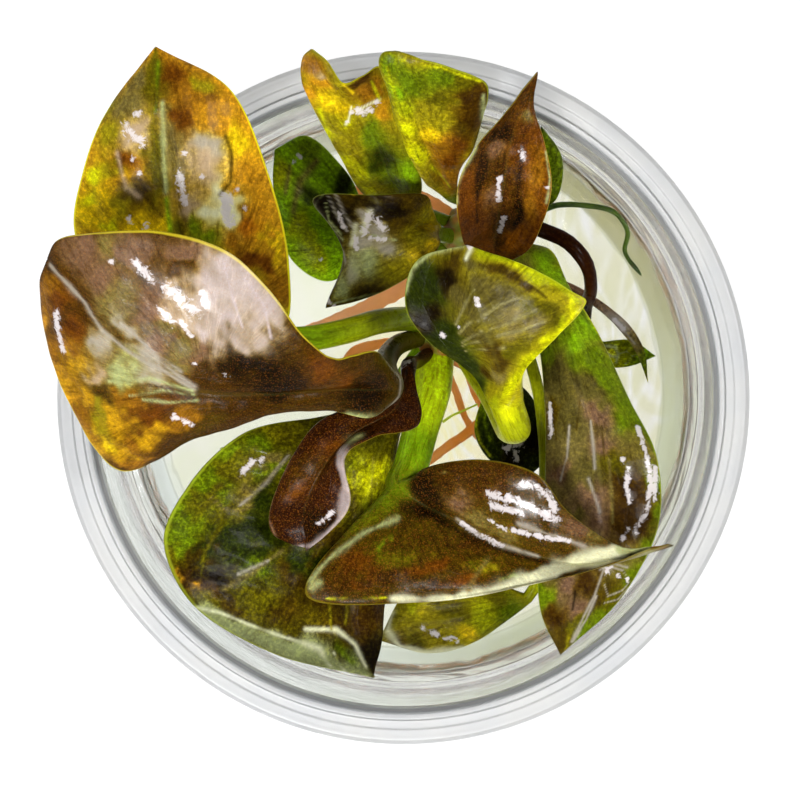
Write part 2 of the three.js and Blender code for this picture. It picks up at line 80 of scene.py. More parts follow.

# Each leaf grows along its stalk and then its rib, and left and right are its blade's margins
# radius is the stalk's at the rootstock and at the neck, and bulge lifts each half of the blade
# Places on a leaf are hundredths of the way: along from 0 at the neck to 100 at the tip,
# and across from -100 at the right margin to 100 at the left
# A patch is listed under its colour: its place along and across, and its reach along and across
# A line is a colour, half its width, and the places that it passes
# A painted highlight is half its width and the places that it passes: a pale colour laid where the leaf
# reflects light
# rim is how strongly a bright line is painted along the margin, as light shining through its thin edge, and
# speckle how strong the grain is
# fan is the place that the leaf's streaks spread from, when that isn't the middle of its neck
# A curl is a margin's side, the shares along where it starts and ends, and how high and wide it curls up
LEAVES = {
    "leaf_upper_left": dict(
        slot="leaf_amber", stalk_colour="fresh", colour="amber", radius=[2.1, 2.2], bulge=1.5,
        stalk=[
            [2.6, 10.9, 22.4], [0, 11.4, 34], [-4, 11, 45], [-9, 9.5, 53], [-15, 8.5, 57.5], [-21.5, 9, 60],
        ],
        rib=[
            [-27, 11, 62], [-29.5, 16.5, 65], [-31.5, 24, 68], [-32.5, 32.5, 70], [-33.5, 41.5, 71],
            [-34.5, 50, 69],
        ],
        left=[[-32, 7.5, 61], [-41.5, 13, 61], [-46.5, 23.5, 64], [-45, 32.5, 67], [-41.5, 41, 69]],
        right=[[-17, 10, 60], [-16, 19.5, 62], [-19, 33, 66], [-24, 44, 69]],
        patches=dict(
            lime=[(63, 83, 2, 10), (55, 85, 2, 9), (47, 68, 2, 9)],
            yellow=[
                (57, 75, 2, 9), (52, 65, 3, 12), (51, 88, 3, 10), (55, 78, 2, 6), (66, -80, 3, 13),
                (38, -88, 5, 5), (42, 33, 4, 12),
            ],
            khaki=[(64, 65, 2, 8), (80, 100, 2, 16), (73, 73, 3, 14), (51, 45, 3, 10), (82, -68, 3, 8)],
            rust=[(65, 53, 2, 10), (73, -25, 3, 12), (32, -68, 2, 8), (88, -27, 4, 23)],
            # The mauve and silver patches are the blade's pale tone with painted sheen over it, and the cream
            # patches are painted highlights
            mauve=[(73, 40, 4, 18), (60, -38, 6, 14), (44, -15, 4, 11)],
            drab=[(88, 53, 4, 23), (81, 60, 3, 23), (67, -10, 10, 10)],
            olive=[(90, 10, 8, 21), (62, 15, 10, 8), (37, 3, 3, 8)],
            tan=[(81, -38, 4, 19), (78, -62, 2, 11), (36, -52, 2, 7), (27, -88, 3, 11)],
            amber=[(75, -65, 3, 15), (70, -68, 2, 11), (55, -82, 6, 9), (45, -82, 5, 9)],
            silver=[(65, -45, 3, 11)],
            cream=[(48, -52, 6, 10), (44, -40, 3, 8)],
            leaf=[(38, -22, 3, 7)],
            orange=[(42, -70, 3, 9)],
            umber=[(53, 33, 3, 10)],
            sap=[(-45, 0, 20, 100)],
            fresh=[(-10, 0, 20, 200)],
        ),
        lines=[
            ("fresh", 0.4, (36, 7), (49, 5)), ("mist", 0.4, (51, 5), (65, 3), (81, -2)),
            ("umber", 0.3, (68, -68), (63, -70), (55, -60), (51, -47)), ("umber", 0.2, (56, 35), (44, 12)),
            ("mauve", 0.4, (68, 60), (57, 45), (53, 33)), ("leaf", 0.3, (95, -5), (78, 10)),
        ],
        painted_gleams=[
            (0.4, (57, -10), (48, -12)), (0.3, (47, 43)), (0.3, (43, 28)), (0.2, (65, 40)), (0.2, (60, 30)),
            (0.2, (64, -20)), (0.2, (56, -32)), (0.2, (53, -65)), (0.2, (48, -68)),
            (0.5, (75, 53), (70, 30)), (0.4, (78, 38)), (0.6, (51, -52), (43, -50)),
        ],
        rim=0.9,
        speckle=0.7,
    ),
    "leaf_left": dict(
        slot="leaf_brown", stalk_colour="leaf", colour="bark", radius=[1.3, 2.6], bulge=1,
        stalk=[[2.2, 8.6, 24.4], [-1.2, 7.6, 33], [-2.8, 5.2, 44], [-2.4, 2.8, 55]],
        rib=[
            [-2, 1.8, 62], [-5, 1.5, 67.5], [-9.5, 1.5, 71.5], [-19, 1, 75], [-29, 1.5, 76], [-36, 5, 77],
            [-41, 9.5, 78], [-45.5, 15.5, 78], [-49, 20, 77],
        ],
        left=[
            [-4.5, -2.5, 68], [-10, -1.5, 70], [-17.5, -1.5, 72], [-28.5, -5.5, 70], [-40, -10, 66],
            [-47, 0, 68], [-50, 9.5, 71], [-50.5, 16, 74],
        ],
        right=[
            [-3.5, 7, 70], [-8.5, 6, 75], [-13, 9.5, 80], [-22, 20, 83], [-31.5, 23.5, 83], [-38, 24, 82],
            [-43.5, 23.5, 80], [-47.5, 22.5, 79],
        ],
        patches=dict(
            plum=[
                (89, -78, 4, 29), (82, -50, 4, 18), (76, -82, 3, 11), (66, -90, 3, 10), (65, -85, 2, 6),
                (65, -20, 2, 7), (55, -30, 2, 7), (69, -50, 3, 9),
            ],
            drab=[(81, -82, 3, 15), (78, -35, 4, 15), (59, -20, 2, 7), (64, -35, 2, 7)],
            # The lilac patches are the blade's lilac-grey tone with painted sheen over it
            lilac=[
                (57, -95, 4, 14), (51, -88, 5, 19), (44, -85, 4, 19), (57, -72, 4, 14), (51, -57, 4, 12),
                (57, -45, 3, 10),
            ],
            mauve=[(62, -47, 3, 10), (73, 43, 2, 11), (64, -57, 3, 10)],
            soot=[
                (46, -30, 4, 14), (40, -25, 4, 20), (34, -20, 3, 18), (10, 3, 5, 46), (11, 53, 2, 36),
                (-40, 0, 20, 200),
            ],
            bark=[(46, -10, 3, 11), (41, 7, 3, 17), (51, -17, 2, 7), (37, 33, 2, 16), (65, -75, 2, 5)],
            rust=[
                (27, -68, 3, 20), (19, -35, 3, 27), (90, 40, 2, 20), (57, 25, 2, 6), (59, 35, 2, 7),
                (82, 30, 2, 14),
            ],
            olive=[(7, -100, 4, 22), (-70, 0, 20, 200)],
            tan=[
                (93, 55, 2, 35), (80, 100, 2, 16), (80, 48, 2, 16), (64, 35, 2, 9), (67, 100, 2, 7),
                (51, 30, 2, 9), (58, 68, 2, 6), (55, 88, 2, 5), (68, 100, 2, 8),
            ],
            amber=[(87, 98, 2, 19), (77, 100, 2, 10), (74, 100, 2, 7)],
            gold=[
                (75, 98, 2, 12), (76, 58, 2, 14), (70, 78, 2, 9), (63, 60, 2, 10), (64, 100, 2, 7),
                (58, 85, 2, 8), (56, 55, 2, 8), (54, 38, 2, 6),
            ],
            umber=[(67, 53, 2, 8), (43, 40, 3, 16), (-12, 0, 20, 200)],
            yellow=[(63, 85, 2, 8)],
            khaki=[(66, 70, 2, 7)],
            silver=[(73, -27, 3, 6), (65, -5, 4, 5), (63, 5, 3, 5), (66, -12, 2, 7), (77, 15, 2, 13)],
            mist=[(69, 18, 3, 15)],
        ),
        lines=[
            ("silver", 0.4, (99, 7), (93, -5), (86, -7), (79, -2), (70, -5), (62, -7), (54, -2)),
            ("mist", 0.3, (54, 0), (64, 5), (70, 35)), ("mist", 0.2, (53, 3), (60, 7), (65, 30)),
            ("mist", 0.2, (52, 7), (57, 15), (62, 25)), ("bark", 0.2, (54, 3), (63, 10), (70, 55)),
            ("silver", 0.3, (66, -15), (59, -10), (54, -5)),
            ("silver", 0.2, (75, -22), (66, -17), (58, -12)),
            # The lilac lines are streaks of painted sheen, and the silver line across the neck's end is a
            # painted highlight along the knee's rim
            ("lilac", 0.2, (58, -93), (53, -75), (49, -62)),
            ("lilac", 0.2, (53, -93), (46, -88), (42, -70)), ("silver", 0.3, (1, -80), (1, 38), (4, 100)),
            ("mist", 0.4, (13, 100), (10, 100), (5, 100)),
        ],
        painted_gleams=[
            (0.5, (75, -72), (71, -65)), (0.6, (68, -65), (64, -60), (60, -55)),
            (0.4, (67, -47), (64, -42)), (0.3, (60, -68), (58, -62)), (0.4, (88, 55), (81, 70)),
            (0.3, (54, 28), (49, 38)), (0.2, (56, -22)), (0.2, (48, -20)), (0.2, (81, -70)),
            (0.2, (62, -45), (59, -40)),
        ],
        rim=0.8,
        speckle=0.6,
        fan=(51, -5),
    ),
    "leaf_red": dict(
        slot="leaf_brown", stalk_colour="maroon", colour="maroon", radius=[1.1, 1.2], bulge=0.8,
        stalk=[[3, 6.2, 25], [1.4, 4.9, 31], [0.7, 4.9, 36]],
        rib=[
            [0.5, 4.5, 40], [0.1, 1.5, 44], [-1.7, -2, 48], [-7.5, -5.5, 51], [-12, -11, 51],
            [-14.5, -17, 49], [-14, -22, 47],
        ],
        left=[[1.5, 2.5, 43], [2, -4, 46], [-4, -6, 51], [-8, -8.5, 53.5], [-7.5, -15.5, 52]],
        right=[[-1, 1.5, 46], [-7, -1, 50], [-13, -4, 51], [-18, -12, 50], [-19.5, -20, 47]],
        patches=dict(
            maroon=[(48, -52, 7, 48), (80, 50, 6, 35), (85, -50, 5, 31), (44, -40, 4, 30)],
            bark=[(66, -38, 5, 34), (44, -27, 3, 20)],
            rust=[(73, -38, 3, 22), (56, -15, 4, 24)],
            soot=[(85, 58, 5, 35)],
        ),
        lines=[
            # The lilac lines paint the sheen on the rolled margin over its pale tone
            ("lilac", 0.9, (56, 40), (64, 95), (71, 90), (80, 93)),
            ("lilac", 0.6, (82, 93), (89, 100), (96, 93), (99, -100)), ("mist", 0.8, (49, 43), (52, 38)),
            ("plum", 0.2, (58, -100), (75, -100), (82, -100), (90, -100)),
            ("rust", 0.2, (88, 53), (80, 68)),
        ],
        painted_gleams=[(0.2, (1, -80), (2, -30)), (0.2, (4, -100), (1, -7)), (0.2, (87, 53), (81, 70))],
        rim=0.3,
        curl=[(1, 0.35, 1.1, 1.1, 0.9)],
    ),
    "leaf_lower_left": dict(
        slot="leaf_green", stalk_colour="fresh", colour="olive", radius=[1.15, 1.6], bulge=1,
        stalk=[[1.8, 6.8, 21.7], [-0.6, 2.6, 26]],
        rib=[
            [-1.5, -2, 31], [-4, -8.5, 35.5], [-6, -16, 38], [-8, -24, 38], [-8.5, -31.5, 37],
            [-7.5, -37, 36], [-5, -42, 35],
        ],
        left=[[-1.5, -8, 33], [-2, -16, 34], [-2.5, -23.5, 34], [-3, -30.5, 34], [-4, -37, 34]],
        right=[
            [-13, -3, 38], [-24, -5.5, 42], [-32, -13.5, 45], [-35, -21, 47], [-31.5, -29.5, 48],
            [-20, -37.5, 43],
        ],
        patches=dict(
            leaf=[
                (32, -88, 2, 9), (38, -95, 2, 5), (42, -95, 2, 5), (46, -95, 2, 4), (51, -93, 2, 5),
                (35, -60, 2, 5), (57, -57, 2, 4),
            ],
            olive=[
                (55, -97, 2, 4), (36, -88, 2, 6), (45, -75, 2, 5), (66, -62, 2, 7), (63, -95, 2, 4),
                (46, -65, 2, 4),
            ],
            drab=[(34, -70, 2, 6), (41, -72, 2, 6)],
            moss=[
                (51, -75, 2, 5), (51, -62, 3, 6), (48, -52, 2, 6), (54, -57, 3, 6), (41, -52, 2, 6),
                (56, -25, 3, 6),
            ],
            soot=[(58, -78, 2, 5), (89, 68, 4, 48)],
            bark=[(58, -90, 2, 5), (65, -20, 4, 9), (78, 25, 4, 30), (74, 75, 4, 27)],
            amber=[(57, -95, 2, 3)],
            umber=[
                (64, -78, 2, 6), (60, -35, 3, 7), (69, -50, 3, 8), (52, -5, 5, 7), (74, -7, 3, 9),
                (54, -80, 2, 4),
            ],
            lime=[(30, -2, 3, 6), (24, 40, 3, 44), (33, 55, 3, 35)],
            sap=[(40, 0, 3, 5), (27, -15, 2, 5)],
        ),
        lines=[
            # The drab and silver streaks here paint the leaf's pale sheen along its veins
            ("drab", 0.4, (30, -62), (37, -62), (44, -68)),
            ("silver", 0.2, (31, -62), (38, -62), (44, -68)), ("drab", 0.3, (34, -75), (38, -78)),
            ("drab", 0.4, (54, -40), (58, -55), (62, -78)), ("silver", 0.2, (56, -47), (59, -65)),
            ("drab", 0.2, (43, -85), (45, -75), (45, -65)), ("olive", 0.3, (45, -72), (54, -80), (58, -85)),
            ("mist", 1.4, (66, -97), (71, -95), (77, -88), (84, -82)),
            ("mist", 2.1, (81, -72), (87, -70), (92, -75), (98, -100)),
            ("cream", 0.2, (65, -100), (67, -90), (71, -82), (78, -70)),
            ("cream", 0.4, (78, -68), (84, -55), (91, -85)), ("leaf", 0.8, (86, -32), (93, -35)),
            ("cream", 0.3, (77, -47), (80, -20), (87, -2), (96, -5)), ("cream", 0.3, (87, -45), (95, -100)),
            ("drab", 0.2, (29, -15), (43, -5)), ("drab", 0.2, (22, -5), (43, 23)),
            ("khaki", 0.2, (69, -17), (79, -25)), ("khaki", 0.2, (70, -2), (79, -7)),
        ],
        painted_gleams=[(0.2, (32, -75), (34, -72)), (0.2, (34, -78), (37, -78))],
        rim=0.55,
        speckle=0.85,
        curl=[(-1, 0.68, 1.1, 0.9, 1.6)],
    ),
    "leaf_lower": dict(
        slot="leaf_brown", stalk_colour="shoot", colour="umber", radius=[3.1, 2.7], bulge=1,
        stalk=[[3.9, 5.4, 22.6], [3.7, 0.6, 29], [2, -5.5, 35], [0.7, -10.5, 38.5]],
        rib=[
            [-0.5, -13.5, 40], [3, -16, 43], [8.5, -18.5, 45], [16, -22, 47], [25, -24, 49.5],
            [32.5, -23, 53], [39, -21, 57],
        ],
        left=[[3, -10.5, 44], [11.5, -9, 49], [19.5, -11, 51], [24, -16.5, 50.5], [32, -21.5, 54]],
        right=[[-8, -19, 43], [-14.5, -29, 45], [2, -30, 46], [18.5, -27.5, 49], [29.5, -24.5, 53]],
        patches=dict(
            rust=[(22, -72, 3, 8), (36, -42, 2, 6), (48, -57, 2, 6), (30, -68, 2, 4)],
            bark=[
                (25, -78, 3, 6), (33, -57, 3, 7), (45, -65, 2, 7), (21, 70, 4, 18), (29, 73, 4, 18),
                (36, 85, 3, 13), (48, 95, 2, 10), (36, -15, 3, 6),
            ],
            leaf=[(22, -47, 2, 4), (58, -40, 2, 5), (-2, 0, 8, 200)],
            olive=[(26, -50, 2, 5), (43, -32, 2, 5), (29, -38, 2, 5)],
            umber=[
                (35, -25, 3, 7), (51, -15, 3, 9), (22, -38, 3, 5), (92, 100, 3, 150), (53, 18, 3, 11),
                (23, -25, 3, 5), (20, -62, 2, 6),
            ],
            khaki=[(47, -32, 2, 6)],
            soot=[(11, 43, 5, 31), (13, -7, 4, 11)],
            plum=[(24, 35, 3, 16), (34, 65, 3, 11), (66, 85, 3, 23)],
            drab=[(32, 18, 4, 8), (41, 12, 3, 8), (71, 83, 3, 24)],
            fresh=[(-20, 0, 8, 200)],
        ),
        lines=[
            ("cream", 0.8, (55, -97), (59, -95), (64, -78)),
            ("cream", 1.6, (64, -62), (66, -42), (67, 0), (80, 38)), ("mist", 1, (84, 62), (93, 100)),
            ("lime", 0.2, (30, -95), (40, -88)), ("cream", 0.5, (42, -90), (52, -95), (57, -93)),
            ("mist", 0.6, (26, -95), (26, -90)), ("mist", 0.4, (24, -97), (19, -90), (15, -68), (14, -35)),
            ("soot", 0.5, (18, -7), (33, -7), (46, -5), (58, -7)), ("drab", 0.2, (4, 83), (18, 80)),
            ("silver", 0.3, (24, 3), (33, -2), (41, -2), (53, 0)),
            ("silver", 0.4, (45, 33), (56, 38), (70, 43)), ("orange", 0.4, (95, 100), (98, 100)),
            ("drab", 0.4, (54, -75), (47, -35), (44, -20)),
        ],
        painted_gleams=[
            (0.4, (34, 55), (41, 58), (47, 58), (59, 68)), (0.4, (36, 43), (45, 48)),
            (0.4, (44, 80), (49, 85), (55, 90), (57, 80)), (0.2, (44, 23), (54, 30), (64, 45)),
            (0.2, (25, 0), (33, -2), (41, -2)), (0.1, (35, 23), (42, 20)),
        ],
        rim=0.2,
        curl=[(-1, 0.42, 1.1, 0.9, 1.4)],
    ),
    "leaf_centre": dict(
        slot="leaf_green", stalk_colour="sap", colour="khaki", radius=[1.3, 2.6], bulge=-1,
        stalk=[[7.6, 7.2, 25], [9.8, 4, 33], [13, 0, 44], [15.8, -4.6, 53], [16, -3.4, 58]],
        rib=[[15, -0.5, 60], [14, 4.5, 63], [12, 10, 66], [10.5, 15, 67], [9.5, 18.5, 67], [9.5, 22, 66]],
        left=[[10, 3.5, 59], [4, 8, 60], [0.5, 14, 61], [2.5, 20, 63]],
        right=[
            [17.5, 3.8, 65], [22.4, 9.1, 68.5], [25.9, 13, 70.6], [26.4, 14.3, 71], [24.6, 15.4, 70.8],
            [18, 19, 69],
        ],
        patches=dict(
            # The dark moss and soot patches on the left half are the leaf's dark tone deepened by painted
            # shade, where that half turns down away from the light
            moss=[
                (67, 75, 7, 20), (57, 83, 5, 14), (69, 93, 3, 10), (44, 55, 5, 13), (38, 80, 5, 15),
                (30, 78, 5, 18), (20, 83, 4, 22), (10, 98, 3, 30),
            ],
            soot=[(53, 68, 4, 12), (46, 88, 4, 11), (73, 43, 5, 12)],
            umber=[
                (85, 50, 5, 18), (80, -55, 2, 10), (73, -62, 2, 8), (65, -70, 2, 5), (36, 0, 5, 10),
                (26, -7, 4, 13), (18, 40, 3, 13),
            ],
            dusk=[
                (67, 23, 4, 10), (88, -15, 3, 15), (73, -10, 5, 14), (68, -25, 5, 12), (62, -35, 5, 10),
                (60, 3, 5, 12), (57, -15, 3, 6), (46, 23, 5, 11), (44, 0, 4, 8),
            ],
            olive=[(85, 65, 3, 13), (53, -52, 4, 8), (46, -65, 3, 7), (30, -32, 4, 11)],
            sap=[
                (87, -97, 3, 23), (71, -100, 3, 10), (63, -95, 3, 8), (92, -100, 2, 29), (44, -82, 3, 7),
                (4, 28, 3, 30),
            ],
            lime=[
                (79, -97, 3, 13), (54, -90, 2, 5), (34, -82, 2, 8), (22, -80, 3, 17), (12, -52, 3, 25),
                (1, -40, 3, 39),
            ],
            khaki=[(56, -72, 3, 6), (8, 43, 3, 25)],
            drab=[(53, -22, 4, 7), (53, -35, 4, 8), (45, -50, 4, 8), (44, -30, 4, 8), (18, 5, 4, 16)],
        ),
        lines=[
            ("mist", 0.4, (62, 98), (73, 100), (85, 100), (99, 100)), ("cream", 0.3, (99, -100), (93, 0)),
            ("umber", 0.3, (88, -35), (80, -60), (69, -70), (59, -70)),
            ("lime", 0.4, (49, -95), (37, -95), (22, -95), (8, -22)),
            ("willow", 0.2, (38, 50), (45, 20), (51, -7)), ("willow", 0.2, (49, 7), (51, -20), (54, -50)),
            ("willow", 0.2, (35, 53), (41, 20), (45, -12)),
            ("willow", 0.2, (45, -10), (44, -35), (45, -62)), ("willow", 0.2, (44, 45), (53, 20), (59, -7)),
            ("willow", 0.2, (56, 5), (62, -22), (63, -47)), ("willow", 0.2, (49, 43), (62, 20), (74, -2)),
            ("willow", 0.2, (32, 55), (36, 15), (36, -17)),
            ("sap", 0.3, (99, -100), (88, -100), (69, -100), (53, -95)),
        ],
        painted_gleams=[(0.2, (69, -2), (66, -2)), (0.2, (48, 38)), (0.2, (42, 70)), (0.2, (99, -68))],
        speckle=0.35,
        fan=(34, 68),
    ),
    "leaf_dark": dict(
        slot="leaf_green", stalk_colour="moss", colour="moss", radius=[1, 0.9], bulge=0.5,
        stalk=[[8.4, 7.4, 21.4], [11.4, 5, 24.4]],
        rib=[[13.5, 2, 26], [15, -2, 27.5], [16, -5, 28], [17, -8.5, 28], [18.5, -12, 27]],
        left=[[17.5, 1, 26.5], [20.5, -4.5, 27], [20.5, -9.5, 27]],
        right=[[11, -1, 26.5], [10, -5.5, 27.5], [12.5, -10, 27]],
        patches=dict(
            leaf=[(24, -85, 5, 20), (36, -93, 3, 11), (16, -70, 4, 22)],
            moss=[(41, -85, 5, 15), (63, -85, 6, 23)],
            soot=[(65, 43, 7, 28), (74, -47, 6, 26)],
        ),
        lines=[
            ("sap", 0.2, (14, -70), (23, -100), (38, -97), (52, -95), (65, -90)),
            ("leaf", 0.2, (21, -72), (38, -72), (53, -70)),
        ],
        painted_gleams=[(0.4, (67, -40), (69, 7)), (0.2, (74, -22), (81, -30))],
    ),
    "leaf_right": dict(
        slot="leaf_green", stalk_colour="fresh", colour="drab", radius=[1.2, 2], bulge=0.8,
        stalk=[[12.8, 23.2, 24.4], [15.2, 22.4, 30]],
        rib=[
            [17.5, 21, 35], [20.5, 16, 39], [23.5, 9.5, 42], [26.5, -0.5, 44], [28.5, -10.5, 45],
            [29, -21, 46], [26.5, -30.5, 46.5], [22.8, -37.6, 47],
        ],
        left=[
            [21.5, 21.5, 36], [24, 16.5, 38], [28, 10, 40], [33, -0.5, 42], [37, -9, 44], [37, -19, 45],
            [31.5, -29.5, 46],
        ],
        right=[
            [17.5, 15, 38], [19.5, 8, 40], [20.5, -1.5, 41], [20.5, -12.5, 42], [19.5, -22, 43.5],
            [20, -31.5, 45.5],
        ],
        patches=dict(
            fresh=[
                (26, 15, 2, 27), (7, 53, 2, 37), (11, 83, 2, 40), (18, 100, 2, 31), (23, 100, 2, 23),
                (22, 58, 2, 27),
            ],
            leaf=[
                (31, 18, 2, 28), (24, -12, 2, 29), (30, 58, 2, 20), (18, 75, 2, 31), (35, 62, 2, 23),
                (40, 85, 2, 20), (45, 65, 2, 14), (44, 100, 2, 16), (57, 93, 2, 15), (64, 100, 2, 14),
                (85, -88, 2, 16), (88, 100, 2, 42), (79, 100, 2, 22), (93, 100, 2, 64), (27, -85, 2, 24),
                (71, 100, 2, 17),
            ],
            dusk=[
                (31, -57, 2, 25), (36, -47, 2, 25), (37, 12, 2, 24), (43, -45, 3, 24), (55, -20, 3, 20),
                (66, -45, 2, 16),
            ],
            sap=[(10, 100, 2, 26)],
            plum=[
                (43, 18, 2, 23), (54, -65, 2, 17), (51, 7, 2, 17), (63, -27, 3, 20), (67, -5, 3, 17),
                (82, -47, 2, 18), (87, -15, 2, 19),
            ],
            umber=[(41, -75, 2, 16), (96, -42, 2, 47), (85, 40, 2, 22)],
            drab=[(51, -50, 2, 18)],
            olive=[(55, 30, 2, 17), (85, 80, 2, 33), (92, -5, 2, 20)],
            bark=[(59, 53, 3, 20), (66, 43, 3, 22), (65, 70, 2, 18), (90, -62, 2, 21), (81, -5, 2, 14)],
        ),
        lines=[
            ("silver", 0.2, (45, -45), (52, -57), (57, -70)), ("silver", 0.2, (45, 0), (52, -5), (56, -7)),
            ("drab", 0.2, (54, 20), (63, 18), (68, 18)), ("silver", 0.2, (58, -20), (66, -5)),
            ("silver", 0.2, (78, 18), (85, 18), (90, 12), (97, 65)), ("umber", 0.2, (40, -12), (46, -32)),
            ("umber", 0.2, (46, 20), (54, 12)), ("soot", 0.2, (84, -30), (89, -27)),
            ("leaf", 0.4, (31, 95), (42, 100), (52, 100)), ("khaki", 0.3, (99, 100), (96, -10)),
            ("umber", 0.2, (37, -80), (47, -75)), ("silver", 0.2, (85, 25), (91, 33), (97, 65)),
            ("silver", 0.2, (79, 7), (77, 33), (77, 70)),
            ("lime", 0.2, (4, 100), (9, 100), (18, 100), (27, 100)),
            # The thin silver loops paint the bright outline of a drop on the leaf
            ("silver", 0.1, (80, 25), (78, 38), (78, 65), (80, 93), (82, 90), (84, 60), (82, 33)),
            ("silver", 0.1, (86, 62), (84, 95), (81, 100)),
        ],
        painted_gleams=[
            (0.2, (46, 88), (48, 85), (52, 83)), (0.2, (53, 83), (59, 83), (65, 78), (68, 62)),
            (0.2, (56, 50), (60, 43), (63, 48)), (0.2, (54, 43)), (0.2, (55, 95), (62, 90)),
            (0.2, (71, 40), (69, 48)), (0.2, (38, -85), (46, -88)), (0.2, (78, 15), (79, 33)),
            (0.2, (79, 60)), (0.2, (69, 65)), (0.1, (79, 25), (78, 35)), (0.1, (79, 83), (80, 90)),
        ],
        speckle=0.5,
    ),
    "leaf_bottom": dict(
        slot="leaf_amber", stalk_colour="sap", colour="khaki", radius=[1.2, 0.9], bulge=0.6,
        stalk=[
            [9, 20.6, 21.8], [15.5, 12, 31], [19, 3, 35], [20.5, -6, 35], [20.5, -16, 31], [20, -25, 27],
        ],
        rib=[[18, -30.5, 25], [12.5, -32, 26], [6.5, -33.5, 26], [0.5, -34.5, 25], [-4.5, -37, 24]],
        left=[[15, -34, 25], [9.5, -37.5, 24], [2.5, -39, 23]],
        right=[[13.5, -28.5, 26], [7, -28, 26], [0, -29.5, 25]],
        patches=dict(
            khaki=[(79, -57, 6, 46), (63, 7, 7, 34)],
            yellow=[(66, -38, 4, 17), (42, 60, 4, 21)],
            sap=[(32, 25, 7, 44), (68, -47, 5, 24)],
            leaf=[(15, 28, 6, 63)],
            olive=[(75, 65, 4, 24), (46, -15, 6, 24), (18, -27, 5, 35)],
            umber=[(87, 100, 4, 42)],
        ),
        lines=[
            ("cream", 0.6, (85, -100), (93, -55), (88, 93), (73, 98), (51, 100)),
            ("khaki", 0.2, (85, -10), (65, -47)), ("umber", 0.2, (79, 75), (58, 15)),
        ],
        painted_gleams=[(0.2, (65, 33), (63, 40)), (0.2, (58, 62), (54, 58)), (0.2, (51, 73)), (0.2, (71, 18))],
        rim=0.5,
        speckle=0.7,
    ),
    "leaf_torn": dict(
        slot="leaf_amber", stalk_colour="leaf", colour="khaki", radius=[1.1, 1.1], bulge=0.6,
        stalk=[[6.4, 25.8, 22], [3, 27, 27.5]],
        rib=[
            [0, 27.5, 34], [-2, 31.5, 42], [-4, 37, 50], [-6.5, 41, 56], [-10.5, 45.5, 60], [-12.8, 50, 62],
        ],
        left=[[-6, 30, 41], [-9.5, 35.5, 49], [-12.4, 41, 55], [-14.2, 46, 59.5], [-14, 49, 61.5]],
        right=[
            [2.5, 31, 42], [0.5, 37.5, 50.5], [-3.3, 48, 59], [-5.6, 46.6, 59.6], [-8.2, 45.2, 60.5],
            [-10.4, 48.2, 61.6],
        ],
        patches=dict(
            tan=[(95, 40, 3, 51), (73, -42, 3, 16), (69, -68, 2, 10)],
            amber=[(87, 28, 3, 33), (80, 88, 3, 20), (60, -57, 3, 16)],
            yellow=[(74, 35, 4, 25), (79, 43, 2, 19)],
            lime=[(66, 38, 3, 15), (62, 100, 3, 15), (47, 85, 3, 16), (25, 62, 3, 17), (37, 55, 4, 20)],
            bark=[(78, -68, 2, 16)],
            khaki=[(67, 62, 4, 23), (54, 62, 5, 23), (63, 23, 4, 20), (25, 35, 6, 30)],
            mauve=[(91, 18, 2, 25)],
            moss=[(43, 5, 3, 16), (38, 33, 3, 17), (38, -10, 5, 27)],
            leaf=[(51, 0, 4, 21), (30, -15, 7, 40), (57, -2, 4, 18)],
            fresh=[(29, -60, 5, 30)],
        ),
        lines=[
            ("cream", 0.2, (66, 40), (67, 30), (73, 0)), ("cream", 0.2, (70, -2), (68, -30), (65, -60)),
            ("lime", 0.3, (75, 83), (56, 100)), ("yellow", 0.2, (86, -100), (77, -32)),
            ("lime", 0.2, (73, -70), (65, -60)),
        ],
        painted_gleams=[(0.4, (70, -7), (66, -25)), (0.3, (65, -50)), (0.2, (71, 7)), (0.2, (67, 35))],
        speckle=0.6,
    ),
    "leaf_top": dict(
        slot="leaf_green", stalk_colour="leaf", colour="khaki", radius=[1.2, 1.2], bulge=0.6,
        stalk=[[9.2, 27.4, 24], [8.4, 29, 30]],
        rib=[[6.5, 30, 38], [4.5, 34, 47], [2.5, 39, 56], [1, 43.5, 61], [0, 47, 65], [-0.5, 49.5, 66]],
        left=[[2, 32.5, 47], [-0.5, 38.5, 55.5], [-2.2, 44.5, 62], [-3.1, 48.2, 65], [-2.4, 49.3, 65.8]],
        right=[
            [8, 32.5, 46], [11, 38, 55], [12.4, 43.2, 60.6], [12.3, 45, 61.8], [10.8, 46, 63],
            [5.5, 47.9, 65.4],
        ],
        patches=dict(
            leaf=[(91, 50, 3, 28), (85, -15, 6, 24), (80, -68, 4, 17)],
            khaki=[(67, -12, 4, 10), (59, -30, 4, 11)],
            lime=[(58, 50, 3, 27), (42, 58, 5, 38)],
            olive=[(70, -40, 3, 8), (74, -80, 3, 11)],
            sap=[(70, 38, 3, 27)],
            bark=[(66, -68, 3, 10), (57, -78, 4, 12), (63, -82, 3, 11), (53, -90, 4, 13), (67, -85, 3, 8)],
            umber=[(52, -68, 4, 13)],
            rust=[(43, -55, 5, 14), (33, -45, 5, 19)],
            tan=[(41, -25, 7, 19), (18, -62, 8, 50)],
            fresh=[(79, 48, 3, 22)],
            yellow=[(52, -12, 5, 11)],
        ),
        lines=[
            ("sap", 0.3, (92, 60), (76, 60), (41, 50)), ("mist", 0.4, (65, -93), (51, -100)),
            ("lime", 0.2, (97, -17), (85, -95), (70, -97)), ("lime", 0.2, (31, 20), (10, -42)),
        ],
        painted_gleams=[],
        speckle=0.6,
    ),
    "leaf_pointed": dict(
        slot="leaf_brown", stalk_colour="leaf", colour="rust", radius=[1.2, 1.5], bulge=-0.8,
        stalk=[[10.2, 20.8, 25.5], [11.4, 18.8, 35]],
        rib=[
            [12.5, 19, 45], [13.5, 24.5, 52], [14.5, 30.5, 57], [15.5, 36.5, 60.5], [17, 41.5, 63],
